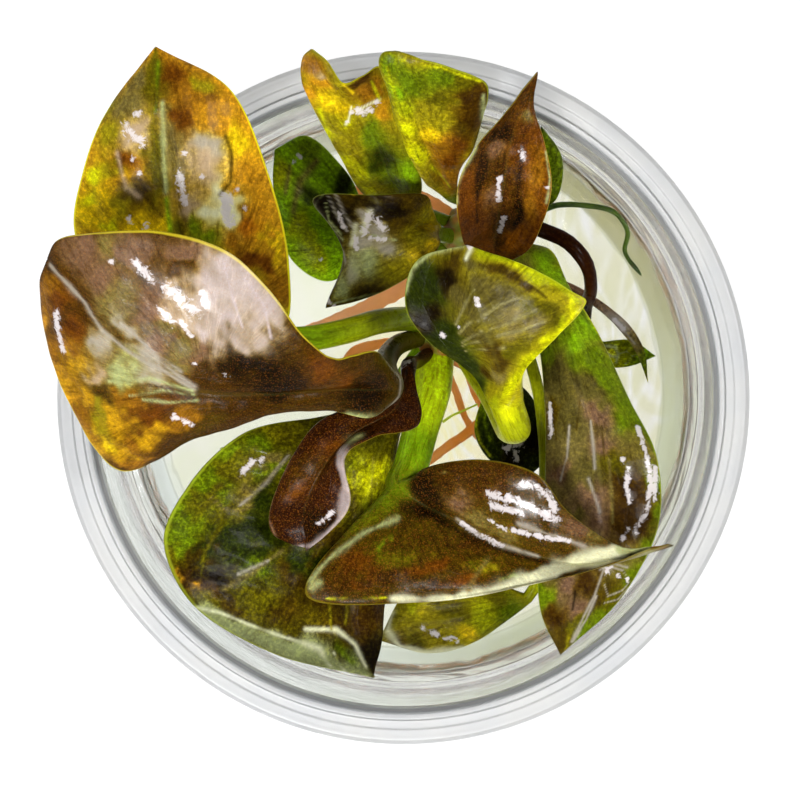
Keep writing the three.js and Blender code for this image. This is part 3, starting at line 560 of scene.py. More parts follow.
            [19.5, 46.5, 66],
        ],
        left=[[8.5, 23.5, 56], [8, 30, 60.5], [10.5, 35.5, 63], [15, 41, 64]],
        right=[[19, 22.5, 55], [21.5, 30, 60], [20.5, 36.5, 62], [19, 41.5, 63.5]],
        patches=dict(
            bark=[
                (54, 35, 5, 27), (64, 100, 3, 23), (47, -27, 7, 8), (80, 88, 3, 57), (89, -10, 3, 77),
                (98, -100, 2, 100), (27, -7, 7, 15),
            ],
            plum=[(45, 18, 6, 13), (63, 40, 5, 17)],
            rust=[(51, 83, 5, 15), (36, 73, 5, 16), (23, 50, 5, 24)],
            tan=[(58, -68, 5, 12), (43, -65, 5, 12), (66, -88, 2, 12)],
            orange=[(24, -55, 5, 22)],
            drab=[(79, -45, 2, 22)],
            soot=[(70, 43, 3, 25), (55, 55, 6, 7), (36, -40, 6, 6)],
        ),
        lines=[
            ("soot", 0.3, (73, 100), (55, 62), (32, 55)), ("soot", 0.3, (73, -35), (45, -35), (19, -30)),
            ("mist", 0.3, (66, 100), (57, 100), (44, 98)), ("soot", 0.2, (64, 10), (41, -5)),
            ("mist", 0.2, (69, -97), (59, -95), (49, -93)),
        ],
        painted_gleams=[
            (0.2, (66, -30), (63, -35)), (0.2, (55, -90)), (0.2, (52, 10), (41, 7)),
            (0.2, (34, -15), (25, -10)),
        ],
        rim=0.4,
    ),
    "leaf_behind": dict(
        slot="leaf_green", stalk_colour="leaf", colour="leaf", radius=[1, 0.9], bulge=0.3,
        stalk=[[12.6, 25.4, 21.8], [17, 28, 32]],
        rib=[[19, 28, 40], [21, 31.5, 45], [21, 36, 48], [20, 39.5, 49]],
        left=[[18.5, 31.5, 44], [19, 36, 47]],
        right=[[22.5, 30, 43], [23, 35, 46.5]],
        patches=dict(
        ),
        lines=[],
        painted_gleams=[],
    ),
    "leaf_round": dict(
        slot="leaf_green", stalk_colour="leaf", colour="fresh", radius=[1.2, 1.1], bulge=0.8,
        stalk=[[6.1, 23, 21.8], [0, 22.4, 24]],
        rib=[[-6, 23.5, 28], [-9, 24.5, 32], [-12.5, 27, 34.5], [-16, 31.5, 36], [-19.5, 36.5, 36]],
        left=[[-11.5, 17, 31], [-17, 20, 33], [-19.5, 28.5, 34]],
        right=[[-6.5, 28.5, 32], [-9.5, 34, 35], [-15, 38.5, 36]],
        patches=dict(
            fresh=[
                (86, -40, 8, 33), (59, -65, 5, 16), (26, 53, 6, 17), (38, 25, 6, 17), (71, 60, 6, 32),
                (52, 15, 5, 15),
            ],
            sap=[(86, 43, 5, 45), (57, 50, 4, 17), (38, 65, 5, 16), (46, 53, 4, 14)],
            moss=[(45, -72, 4, 15), (62, -2, 5, 14)],
            leaf=[(74, -75, 5, 18)],
        ),
        lines=[("drab", 0.5, (68, -68), (74, -5), (65, 48)), ("drab", 0.3, (84, -15), (76, 48))],
        painted_gleams=[(0.2, (37, 65)), (0.2, (82, -32)), (0.2, (80, -50))],
        speckle=0.7,
    ),
    "leaf_grey": dict(
        slot="leaf_green", stalk_colour="leaf", colour="umber", radius=[1.2, 1.2], bulge=0.8,
        stalk=[[6.2, 23.8, 25.4], [4.4, 24.1, 32]],
        rib=[[4, 25, 38], [1.5, 25, 43], [-1.5, 23, 46], [-5.5, 20.5, 47], [-8, 17, 47], [-11.5, 13, 46]],
        left=[[5, 22.5, 42], [3, 19.5, 44], [-2, 16, 45], [-7, 14, 45.5]],
        right=[[3, 29.5, 44], [-4.5, 29.5, 48], [-13.5, 29, 44], [-9, 22, 45]],
        patches=dict(
            soot=[(34, -57, 5, 24), (57, -65, 4, 11), (55, -85, 2, 8), (56, -88, 2, 8), (58, -60, 3, 8)],
            umber=[(24, -62, 4, 20), (34, -20, 4, 15)],
            khaki=[(14, -27, 9, 29), (30, 30, 7, 25), (53, 62, 5, 23), (45, 62, 5, 23)],
            yellow=[(8, -95, 5, 38), (41, 60, 3, 16), (25, 70, 5, 18), (9, 5, 9, 37)],
            # The silver patches and the cream lines paint the grey sheen over the leaf's dark tone
            silver=[
                (46, -55, 3, 12), (47, -27, 5, 13), (58, -15, 5, 11), (49, 10, 5, 20), (75, 0, 5, 22),
                (75, -52, 3, 14),
            ],
            mist=[(62, 20, 6, 29), (87, 0, 5, 44), (73, 0, 6, 22)],
            olive=[(36, -80, 2, 10)],
        ),
        lines=[
            ("mist", 0.2, (55, -100), (63, -100), (67, -85), (66, -45)),
            ("silver", 0.2, (54, -95), (58, -68), (60, -40)),
            ("silver", 0.2, (51, -97), (54, -68), (57, -40)),
            ("mist", 0.2, (58, -85), (63, -72), (64, -47)), ("yellow", 0.2, (44, -100), (13, -100)),
            ("cream", 0.3, (54, -42), (63, -25)), ("mist", 0.2, (97, 35), (84, 80), (69, 100)),
            ("soot", 0.3, (45, -88), (54, -60)), ("cream", 0.4, (45, -60), (54, -30)),
            ("mist", 0.2, (51, -20), (42, 3)),
        ],
        painted_gleams=[
            (0.4, (46, -55), (53, -30)), (0.4, (45, -40), (45, -27)), (0.3, (60, -27), (63, -17)),
            (0.2, (57, -65), (60, -47)), (0.2, (53, -17), (48, -10)), (0.2, (98, -75), (96, 93)),
        ],
        speckle=0.6,
    ),
    "leaf_small": dict(
        slot="leaf_green", stalk_colour="maroon", colour="leaf", radius=[1.2, 1.1], bulge=0.3,
        stalk=[
            [11.4, 27, 25.4], [15, 26.4, 35], [20, 24.5, 41], [24, 22.6, 43.5], [26.6, 19.5, 43],
            [27.3, 16, 40], [26.6, 13, 34],
        ],
        rib=[[27.2, 7.2, 25], [30, 6.2, 24.6], [33.5, 6.1, 24.5], [37.2, 5.8, 24.2]],
        left=[[29.5, 8, 24.6], [33.5, 8.2, 24.5]],
        right=[[29.5, 4.2, 24.2], [33.5, 4.3, 24.2]],
        patches=dict(
            lime=[(36, -7, 10, 50)],
            sap=[(60, 30, 12, 58), (49, -57, 7, 36)],
            fresh=[(82, 48, 9, 92)],
            olive=[(25, 23, 6, 32)],
        ),
        lines=[
            ("mist", 0.2, (16, 23), (23, 58), (38, 50)), ("mist", 0.2, (23, 20), (37, -15), (48, -20)),
            ("mist", 0.2, (38, 50), (46, 0), (46, -57)), ("mist", 0.1, (46, 0), (57, 23), (63, 73)),
            ("mist", 0.1, (57, 23), (68, -15), (77, 5)), ("mist", 0.1, (62, -72), (68, -15)),
        ],
        painted_gleams=[(0.2, (21, 20))],
    ),
    "leaf_strip": dict(
        slot="leaf_green", stalk_colour="plum", colour="plum", radius=[0.7, 0.6], bulge=0,
        stalk=[[11.6, 21.2, 21.2], [18, 17.5, 27], [23.5, 16.4, 30]],
        rib=[
            [27, 14.6, 30], [29.5, 12.7, 30], [31.8, 10.9, 29.6], [33.7, 8.9, 29], [34.9, 6.6, 28.4],
            [36, 1.8, 26],
        ],
        left=[[30, 13.2, 29.8], [33.2, 10.4, 29], [35.4, 6.6, 28]],
        right=[[29.1, 12.2, 30], [31.3, 10.1, 29.4], [34, 6.6, 28.2]],
        patches=dict(
            silver=[(35, -97, 11, 150)],
            drab=[(58, -100, 8, 121)],
            leaf=[(79, 30, 8, 150)],
            lime=[(98, 100, 9, 150)],
        ),
        lines=[("silver", 0.2, (31, -32), (60, -52))],
        painted_gleams=[(0.2, (31, -32), (45, -57))],
    ),
}

# A root or runner is a tube along a path, with its radius at the start and at the end
ROOTS = {
    "root_1": dict(radius=[0.875, 0.625], path=[[6, 5.5, 16], [8.5, 4, 14], [10, 0, 11], [12, -4, 9]]),
    "root_2": dict(
        radius=[0.875, 0.625],
        path=[[8.5, 8, 16], [13, 6, 15], [15.5, 0, 14], [10, -5, 13], [4, -9.5, 12], [-1, -13.5, 10]],
    ),
    "root_3": dict(radius=[0.875, 0.625], path=[[2, 7.5, 17], [-4, 7.6, 15], [-9, 6, 13], [-11.5, 0, 10]]),
    "root_4": dict(
        radius=[1.25, 1],
        path=[[6, 21.5, 17], [-1, 16, 15.5], [-7, 13, 14], [-12.5, 10.5, 12], [-18, 8.5, 9]],
    ),
    "root_5": dict(radius=[1, 0.75], path=[[7, 26.5, 16], [2.5, 29.5, 15], [-3, 31, 13], [-10, 31, 9]]),
    "root_6": dict(radius=[0.625, 0.5], path=[[5, 5.5, 14], [7, 0, 9], [9, -5.5, 6], [14, -10, 4]]),
}
HAIR_ROOTS = {
    "hair_root_1": [[5.1, -4.3, 18.6], [6.4, -3.4, 18.9], [7.7, -2.8, 18.9], [10.4, -1.6, 18.4]],
    "hair_root_2": [[-28.5, -8.2, 18.8], [-28.1, -9.7, 19], [-27.4, -11.1, 18.8]],
    "hair_root_3": [
        [-26.7, -10, 18.7], [-25.3, -8.8, 19], [-23.8, -8.8, 19], [-22.9, -9.7, 18.9], [-22.3, -11.5, 18.6],
    ],
}
HAIR_RADIUS = [0.22, 0.14]
RUNNER = dict(
    radius=[0.55, 0.3],
    path=[
        [13.4, 23.8, 21], [18, 26.4, 21.2], [22, 28.4, 21.6], [27, 28.4, 21.6], [31, 27.4, 21.4],
        [33, 24.5, 21.3], [32.6, 21.5, 21.2], [35, 18, 21],
    ],
)

# A rootstock's middle, to the right and back, and its radius
ROOTSTOCKS = {"crown_front": (5, 8.5, 4), "crown_back": (9.5, 24, 4.6)}
GEL_TOP = 20


class Curve:
    """A centripetal Catmull-Rom curve through points, read by its share of arc length, 0 to 1."""

    def __init__(self, points):
        points = np.array(points, float)
        ends = 2 * points[0] - points[1], 2 * points[-1] - points[-2]
        padded = np.vstack([ends[0], points, ends[1]])
        step = np.linspace(0, 1, SPAN_STEPS, endpoint=False)[:, None]
        spans = [self.span(*padded[k:k + 4], step) for k in range(len(points) - 1)]
        self.points = np.vstack([*spans, points[-1:]])
        lengths = np.linalg.norm(np.diff(self.points, axis=0), axis=1)
        travelled = np.concatenate([[0], np.cumsum(lengths)])
        self.length = travelled[-1]
        self.share = travelled / self.length

    @staticmethod
    def span(before, start, end, after, step):
        """The cubic between two points whose slopes come from the roots of the spans' lengths."""
        gaps = [np.linalg.norm(b - a) ** 0.5 for a, b in ((before, start), (start, end), (end, after))]
        mean = (end - start) / gaps[1]
        leave = ((start - before) / gaps[0] - (end - before) / (gaps[0] + gaps[1]) + mean) * gaps[1]
        arrive = (mean - (after - start) / (gaps[1] + gaps[2]) + (after - end) / gaps[2]) * gaps[1]
        square = -3 * start + 3 * end - 2 * leave - arrive
        cube = 2 * start - 2 * end + leave + arrive
        return start + leave * step + square * step ** 2 + cube * step ** 3

    def at(self, share):
        return np.stack([np.interp(share, self.share, self.points[:, k]) for k in range(3)], -1)

    def tangent(self, share, reach=0.004):
        return unit(self.at(np.minimum(share + reach, 1)) - self.at(np.maximum(share - reach, 0)))


def unit(vectors):
    """Each vector at length 1."""
    return vectors / (np.linalg.norm(vectors, axis=-1, keepdims=True) + 1e-12)


def dot(a, b):
    """Each pair's dot product, kept as a last axis of one."""
    return (a * b).sum(-1, keepdims=True)


def smoothstep(value, low, high):
    """0 at low, 1 at high, and t * t * (3 - 2 * t) between them, where t is the share of the way."""
    t = np.clip((value - low) / (high - low), 0, 1)
    return t * t * (3 - 2 * t)


def wobble(points, size, seed):
    """Smooth noise about zero: twelve sine waves of random heading and of about the given length."""
    rng = np.random.default_rng(seed)
    heading = unit(rng.normal(size=(12, 3)))
    turns = 2 * np.pi / (size * rng.uniform(0.7, 1.6, 12))
    phase = rng.uniform(0, 2 * np.pi, 12)
    return np.sin(points @ (heading * turns[:, None]).T + phase).sum(-1) / 12 ** 0.5


def ring_faces(rings, count):
    """Quads between closed rings of points laid one after another, and a fan to a pole at each end.

    Points 0 and 1 + rings * count are the poles, and ring k starts at 1 + k * count.
    """
    side = np.arange(count)
    beside = (side + 1) % count
    first = 1 + count * np.arange(rings - 1)[:, None]
    quads = np.stack([first + side, first + beside, first + beside + count, first + side + count], -1)
    last = 1 + (rings - 1) * count
    near = np.stack([np.zeros(count, int), 1 + beside, 1 + side], -1)
    far = np.stack([last + side, last + beside, np.full(count, last + count)], -1)
    return quads.reshape(-1, 4), np.vstack([near, far])


def skin_piece(name, start, rings, end, materials, slot, replaces=None, facts=None, second=None):
    """A closed smooth mesh over rings of points in millimetres, with a pole at each end.

    facts maps the name of a point attribute to its three values on the rings.
    second tells, from faces' middles, which of them take the second material.
    The faces are turned outward by the sign of the volume that they close.
    """
    count = rings.shape[1]
    points = np.vstack([start[None], rings.reshape(-1, 3), end[None]])
    quads, fans = ring_faces(len(rings), count)
    halves = np.vstack([quads[:, [0, 1, 2]], quads[:, [0, 2, 3]], fans])
    a, b, c = (points[halves[:, k]] for k in range(3))
    if dot(a, np.cross(b, c)).sum() < 0:
        quads, fans = quads[:, ::-1], fans[:, ::-1]
    corners = np.concatenate([quads.ravel(), fans.ravel()])
    sizes = np.concatenate([np.full(len(quads), 4), np.full(len(fans), 3)])
    mesh = bpy.data.meshes.new(name)
    mesh.vertices.add(len(points))
    mesh.vertices.foreach_set("co", (points * MM).ravel())
    mesh.loops.add(len(corners))
    mesh.loops.foreach_set("vertex_index", corners.astype(np.int32))
    mesh.polygons.add(len(sizes))
    mesh.polygons.foreach_set("loop_start", (np.cumsum(sizes) - sizes).astype(np.int32))
    mesh.polygons.foreach_set("use_smooth", np.ones(len(sizes), bool))
    mesh.update(calc_edges=True)
    for key, values in (facts or {}).items():
        values = np.vstack([values[:1, 0], values.reshape(-1, 3), values[-1:, 0]])
        layer = mesh.attributes.new(key, "FLOAT_VECTOR", "POINT")
        layer.data.foreach_set("vector", values.astype(np.float32).ravel())
    for material in materials if isinstance(materials, list) else [materials]:
        mesh.materials.append(material)
    if second is not None:
        middles = np.concatenate([points[quads].mean(1), points[fans].mean(1)])
        mesh.polygons.foreach_set("material_index", second(middles).astype(np.int32))
    mesh.validate()
    piece = bpy.data.objects.new(name, mesh)
    bpy.context.scene.collection.objects.link(piece)
    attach(piece, "root")
    if replaces:
        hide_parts(replaces)
    return piece


# Leaves: rows of points in a stalk, millimetres between points of a blade, half a blade's thickness,
# a stalk's height as a share of its width, and the share of the blade in which the stalk flattens out
STALK_ROWS = 34
GRID_STEP = 0.27
BLADE_HALF_THICKNESS = 0.35
STALK_FLATNESS = 0.85
NECK_BLEND = 0.14

# The weight of a leaf's own tone among its patches, and how fully a line covers them
TONE_WEIGHT = 0.02
LINE_COVER = 0.85

# Half the width from which a line has firm sides, and how far a painted highlight spreads past its own width
FIRM_LINE = 0.8
PAINTED_GLEAM_SPREAD = 0.25

# Waves in a blade and at its margin: how high each is and about how long
QUILT = ((0.15, 6.5), (0.05, 2.6))
RUFFLE = (0.45, 11)


def nearness(places, route, width, power):
    """How near each place is to a route through points, 0 to 1: exp(-(distance / width) ** power)."""
    gap = np.full(places.shape[:-1], np.inf)
    for start, end in zip(route, route[1:] or route):
        way = end - start
        share = np.clip((places - start) @ way / (way @ way + 1e-9), 0, 1)
        gap = np.minimum(gap, np.linalg.norm(places - start - share[..., None] * way, axis=-1))
    return np.exp(-(gap / width) ** power)


def patchwork(leaf, along, across, places, place_of, seed):
    """The leaf's colour at each point: the geometric mean of its patches over stalk and blade tones.

    A patch weighs 1 / (1 + (distance / reach) ** 2) ** 3, and the distances are bent by smooth noise,
    so that no patch has a drawn outline. The leaf's lines lie over the patches, and their widths waver.
    Lines wider than 1.6 mm have firm sides, and thinner ones fade out.
    """
    bent_along = along + 0.012 * wobble(places, 9, seed) + 0.008 * wobble(places, 2.2, seed + 6)
    bent_across = across + 0.06 * wobble(places, 6, seed + 1) + 0.03 * wobble(places, 2, seed + 7)
    blade = smoothstep(bent_along, -0.03, 0.06)[..., None]
    tone = (1 - blade) * np.log(COLOURS[leaf["stalk_colour"]]) + blade * np.log(COLOURS[leaf["colour"]])
    weight = np.full(along.shape, TONE_WEIGHT)[..., None]
    total = tone * weight
    for colour, patches in leaf["patches"].items():
        for at_along, at_across, reach_along, reach_across in np.array(patches) / 100:
            far_along = (bent_along - at_along) / reach_along
            far_across = (bent_across - at_across) / reach_across
            closeness = (1 + far_along ** 2 + far_across ** 2)[..., None] ** -3
            total = total + closeness * np.log(COLOURS[colour])
            weight = weight + closeness
    tint = np.exp(total / weight)
    for colour, width, *spots in leaf["lines"]:
        uneven_width = width * (1 + 0.25 * wobble(places, 4, seed + 5))
        power = 4 if width > FIRM_LINE else 2
        near = nearness(places, [place_of(*spot) for spot in spots], uneven_width, power)
        share = LINE_COVER * near[..., None]
        tint = tint + (np.array(COLOURS[colour]) - tint) * share
    return tint


def painted_gleam_map(leaf, places, place_of):
    """How strongly a highlight is painted at each point, from 0 to 1: the nearest painted highlight's
    closeness. The coat is glossier there too.
    """
    painted_gleams = np.zeros(places.shape[:-1])
    for width, *spots in leaf["painted_gleams"]:
        reach = PAINTED_GLEAM_SPREAD + 1.2 * width
        painted_gleams = np.maximum(painted_gleams, nearness(places, [place_of(*spot) for spot in spots], reach, 2))
    return painted_gleams


def leaf_piece(name, leaf, material, seed):
    """A leaf with its stalk, as a closed skin over a middle surface.

    The middle surface runs from the rootstock along the stalk, then spreads between the rib and the
    two margins, each read at the same share of its length. It is lifted by bulge * sin(pi * across)
    * sin(pi * along) and by smooth noise that grows towards the margins. The skin lies half a
    thickness above and below it, round in the stalk and thin in the blade, with a ridge under the
    rib and a groove over it. The flow attribute leads the streaks along the stalk, and in the blade
    holds each point's heading and distance from the place that they spread from.
    """
    spine = Curve(leaf["stalk"] + leaf["rib"])
    neck = spine.share[SPAN_STEPS * len(leaf["stalk"])]
    blade_rows = int(spine.length * (1 - neck) / GRID_STEP)
    breadth = max(np.linalg.norm(np.subtract(a, b)) for a, b in zip(leaf["left"], leaf["right"]))
    half_columns = 12 + int(breadth / 2 / GRID_STEP)
    blade_shares = neck + (1 - neck) * np.linspace(0, 1, blade_rows, endpoint=False)
    share = np.concatenate([np.linspace(0, neck, STALK_ROWS, endpoint=False), blade_shares])[:, None]
    blade = np.maximum(0, (share - neck) / (1 - neck))
    even = np.linspace(-1, 1, 2 * half_columns + 1)[None]
    flat = smoothstep(blade, 0, NECK_BLEND)
    round_columns = np.sin(np.pi / 2 * even)
    across = round_columns + flat * 0.5 * (even - round_columns)

    spread = np.array(leaf["left"][0], float) - np.array(leaf["right"][0], float)
    tangent = spine.tangent(share[:, 0])
    side = unit(spread - tangent * dot(spread, tangent))
    start_radius, neck_radius = leaf["radius"]
    radius = start_radius + (neck_radius - start_radius) * np.minimum(share / neck, 1)
    neck_side = side[STALK_ROWS] * neck_radius
    base, tip = np.array(leaf["rib"][0], float), leaf["rib"][-1]
    left = Curve([base + neck_side, *leaf["left"], tip]).at(blade[:, 0])
    right = Curve([base - neck_side, *leaf["right"], tip]).at(blade[:, 0])
    centre = spine.at(share[:, 0])
    in_stalk = share <= neck
    left = np.where(in_stalk, centre + side * radius, left)
    right = np.where(in_stalk, centre - side * radius, right)
    up = unit(np.cross(tangent, left - right))

    margin = np.where(across[..., None] > 0, left[:, None], right[:, None])
    reach = np.abs(across)
    middle = centre[:, None] + (margin - centre[:, None]) * reach[..., None]
    lift = leaf["bulge"] * np.sin(np.pi * reach) * np.sin(np.pi * blade)
    quilt = sum(height * wobble(middle, size, seed + 2 + k) for k, (height, size) in enumerate(QUILT))
    ruffle = RUFFLE[0] * reach ** 3 * wobble(middle, RUFFLE[1], seed + 4)
    lift = lift + smoothstep(blade, 0, 0.2) * smoothstep(1 - blade, 0, 0.1) * (quilt + ruffle)
    half_width = np.linalg.norm(margin - centre[:, None], axis=-1)
    from_rib = reach * half_width
    for side_sign, start, stop, height, width in leaf.get("curl", []):
        reached = smoothstep(blade, start, start + 0.12) * smoothstep(blade, stop, stop - 0.08)
        rolled = np.exp(-((half_width - from_rib) / width) ** 2) * (across * side_sign > 0)
        lift = lift + height * reached * rolled
    middle = middle + up[:, None] * lift[..., None]
    round_half = STALK_FLATNESS * radius * np.sqrt(np.maximum(0, 1 - across ** 2))
    thin_half = BLADE_HALF_THICKNESS * np.sqrt(np.maximum(0, 1 - reach ** 14))
    half = round_half + flat * (thin_half - round_half)
    taper = flat * (1 - blade)
    ridge = 0.7 * neck_radius * taper * np.exp(-(from_rib / neck_radius) ** 2)
    groove = min(0.4, 0.015 * breadth) * np.minimum(flat, 1.2 - blade) * flat * np.exp(-(from_rib / 0.8) ** 2)
    top = middle + up[:, None] * (half - groove)[..., None]
    under = middle - up[:, None] * (half + ridge)[..., None]
    rings = np.concatenate([under[:, :-1], top[:, :0:-1]], 1)

    def around(values):
        """Values of the middle surface, once round the skin: across below it, and back above it."""
        return np.concatenate([values[:, :-1], values[:, :0:-1]], 1)

    def place_of(along, across_share):
        """The point of the blade's middle surface at hundredths along and across it."""
        row = STALK_ROWS + int(along / 100 * (blade_rows - 1))
        return middle[row, np.argmin(np.abs(across[row] - across_share / 100))]

    along = np.where(in_stalk, (share - neck) / neck, blade) + 0 * across
    below = np.concatenate([np.ones(across[:, :-1].shape), np.zeros(across[:, :-1].shape)], 1)
    ring_along, ring_across = around(along), around(across)
    places = around(middle)
    fan = place_of(*leaf.get("fan", (0, 0)))
    ahead = unit(spine.at(np.ones(1))[0] - fan)
    beside = unit(spread - ahead * dot(spread, ahead))
    onward, sideways = dot(places - fan, ahead)[..., 0], dot(places - fan, beside)[..., 0]
    distance = np.hypot(onward, sideways) + 0.3
    fanned = np.stack([onward / distance, sideways / distance, distance], -1)
    turn = np.pi / 2 * ring_across * (1 - 2 * below)
    lengthwise = np.stack([0.2 * np.cos(turn), 0.2 * np.sin(turn), share * spine.length + 0 * turn], -1)
    facts = {
        "tint": patchwork(leaf, ring_along, ring_across, places, place_of, seed),
        "blade": np.stack([ring_along, ring_across, below], -1),
        "flow": lengthwise + (fanned - lengthwise) * flat[..., None],
        # finish holds how strongly a highlight is painted, how strongly the margin's bright line of light is
        # painted, and how strong the grain is
        "finish": np.stack([
            painted_gleam_map(leaf, places, place_of),
            np.full(below.shape, leaf.get("rim", 0.5)),
            np.full(below.shape, leaf.get("speckle", 1.0)),
        ], -1),
    }
    return skin_piece(
        name + "_grown", centre[0], rings, spine.at(np.ones(1))[0], material, leaf["slot"], name, facts)


def tube_piece(name, radius, path, material, slot, replaces=None, sides=14, rows=90, seed=0):
    """A round tube along a path, thinner towards its end, with a slightly uneven skin.

    Each ring lies square to the path, turned by the direction in which the path spreads least.
    """
    curve = Curve(path)
    share = np.linspace(0, 1, rows)
    centre, tangent = curve.at(share), curve.tangent(share, 0.02)
    flat_way = np.linalg.svd(curve.points - curve.points.mean(0), full_matrices=False)[2][2]
    side = unit(np.cross(tangent, flat_way))
    other = np.cross(tangent, side)
    turn = 2 * np.pi * np.arange(sides) / sides
    size = radius[0] + (radius[1] - radius[0]) * share
    size = size * np.minimum(1, 0.45 + 3 * np.sqrt(1 - share + 1e-9))
    outward = side[:, None] * np.cos(turn)[:, None] + other[:, None] * np.sin(turn)[:, None]
    rings = centre[:, None] + outward * size[:, None, None]
    rings = rings + outward * (0.06 * size[:, None] * wobble(rings, 1.5, seed))[..., None]
    end = centre[-1] + tangent[-1] * radius[1] * 0.6
    return skin_piece(name, centre[0], rings, end, material, slot, replaces)


def lathe_rings(profile, sides, step=0.25, rounding=3):
    """Rings of points round the Z axis along a profile of radius and height, its corners rounded.

    Each straight stretch is read every step millimetres beside its ends and ever more sparsely away
    from them. Then each point moves halfway to the mean of its two neighbours, rounding times over.
    """
    profile = np.array(profile, float)
    travelled = np.concatenate([[0], np.cumsum(np.linalg.norm(np.diff(profile, axis=0), axis=1))])
    spread = step * np.concatenate([np.arange(5), 5 * 1.35 ** np.arange(20)])
    place = np.unique(np.round(np.concatenate([
        np.concatenate([start + spread[spread < (end - start) / 2], end - spread[spread < (end - start) / 2]])
        for start, end in zip(travelled, travelled[1:])
    ]), 6))
    radius, height = (np.interp(place, travelled, profile[:, k]) for k in (0, 1))
    for _ in range(rounding):
        radius[1:-1] = (radius[:-2] + 2 * radius[1:-1] + radius[2:]) / 4
        height[1:-1] = (height[:-2] + 2 * height[1:-1] + height[2:]) / 4
    turn = 2 * np.pi * np.arange(sides) / sides
    x, y = radius[:, None] * np.cos(turn), radius[:, None] * np.sin(turn)
    return np.stack([x, y, height[:, None] + 0 * x], -1)


def lathe_piece(name, rings, materials, slot, replaces, second=None):
    """A closed turned piece from rings, the first and last of which close to poles on the axis."""
    start, end = rings[0].mean(0), rings[-1].mean(0)
    return skin_piece(name, start, rings[1:-1], end, materials, slot, replaces, second=second)


class Signal:
    """An output of a node tree that adds, subtracts, multiplies and divides as numbers do."""

    def __init__(self, surface, socket):
        self.surface = surface
        self.socket = socket

    def maths(self, operation, first, second=None):
        values = [value for value in (first, second) if value is not None]
        vectors = [value for value in values if isinstance(value, Signal) and value.socket.type != "VALUE"]
        kind = "ShaderNodeVectorMath" if vectors else "ShaderNodeMath"
        return self.surface.node(kind, {"operation": operation}, dict(enumerate(values)))

    def __add__(self, other):
        return self.maths("ADD", self, other)

    def __radd__(self, other):
        return self.maths("ADD", other, self)

    def __sub__(self, other):
        return self.maths("SUBTRACT", self, other)

    def __rsub__(self, other):
        return self.maths("SUBTRACT", other, self)

    def __mul__(self, other):
        return self.maths("MULTIPLY", self, other)

    def __rmul__(self, other):
        return self.maths("MULTIPLY", other, self)

    def __truediv__(self, other):
        return self.maths("DIVIDE", self, other)

    def __rtruediv__(self, other):
        return self.maths("DIVIDE", other, self)

    def absolute(self):
        return self.maths("ABSOLUTE", self)

    def near(self, middle, reach, core):
        """1 up to core away from a middle value, falling to 0 at reach away from it."""
        return (self - middle).absolute().rise(reach, core)

    def rise(self, low, high):
        """0 below low, 1 above high, and a smooth step between them. low may be the higher of the two."""
        settings = {"interpolation_type": "SMOOTHSTEP"}
        if low < high:
            return self.surface.node("ShaderNodeMapRange", settings, {0: self, 1: low, 2: high})
        return 1 - self.surface.node("ShaderNodeMapRange", settings, {0: self, 1: high, 2: low})

    def parts(self):
        return [self.surface.node("ShaderNodeSeparateXYZ", {}, {0: self}, out=k) for k in range(3)]


class Surface:
    """A material that is built from nodes by calls."""

    def __init__(self, name):
        self.material = bpy.data.materials.new(name)
        self.material.use_nodes = True
        self.tree = self.material.node_tree
        self.tree.nodes.clear()

    def node(self, kind, settings=None, inputs=None, out=0):
        """A new node of a kind, with its settings made first, and its output as a Signal."""
        node = self.tree.nodes.new(kind)
        for key, value in (settings or {}).items():
            setattr(node, key, value)
        for key, value in (inputs or {}).items():
            self.feed(node.inputs[key], value)
        return Signal(self, node.outputs[out])

    def feed(self, socket, value):
        if isinstance(value, Signal):
            self.tree.links.new(value.socket, socket)
        elif socket.type == "RGBA":
            socket.default_value = (*value, 1) if isinstance(value, tuple) else (value, value, value, 1)
        elif socket.type == "VECTOR" and not isinstance(value, tuple):
            socket.default_value = (value, value, value)
        else:
            socket.default_value = value

    def place(self):
        """The point's place in millimetres."""
        return self.node("ShaderNodeTexCoord", out="Object") * 1000.0

    def fact(self, name):
        return self.node("ShaderNodeAttribute", {"attribute_name": name}, out="Vector")

    def length(self, vector):
        return self.node("ShaderNodeVectorMath", {"operation": "LENGTH"}, {0: vector}, "Value")

    def noise(self, place, scale, detail=2.0, roughness=0.5, distortion=0.0, out="Fac"):
        inputs = {"Vector": place, "Scale": scale, "Detail": detail}
        inputs.update({"Roughness": roughness, "Distortion": distortion})
        return self.node("ShaderNodeTexNoise", {}, inputs, out)

    def net(self, place, scale):
        """The distance to the nearest thread of a net with irregular meshes."""
        settings = {"feature": "DISTANCE_TO_EDGE"}
        return self.node("ShaderNodeTexVoronoi", settings, {"Vector": place, "Scale": scale})

    def lines(self, value, width):
        """1 on every whole number that the value passes, falling to 0 within width on each side."""
        near = self.node("ShaderNodeMath", {"operation": "PINGPONG"}, {0: value, 1: 0.5})
        return near.rise(width, 0.0)

    def mix(self, share, first, second):
        return self.node("ShaderNodeMix", {"data_type": "RGBA"}, {0: share, 6: first, 7: second}, out=2)

    def bump(self, height, distance, strength):
        return self.node("ShaderNodeBump", {}, {"Height": height, "Distance": distance, "Strength": strength})

    def principled(self, **inputs):
        named = {key.replace("_", " "): value for key, value in inputs.items()}
        return self.node("ShaderNodeBsdfPrincipled", {}, named)

    def finish(self, shader):
        end = self.tree.nodes.new("ShaderNodeOutputMaterial")
        self.tree.links.new(shader.socket, end.inputs["Surface"])
        return self.material


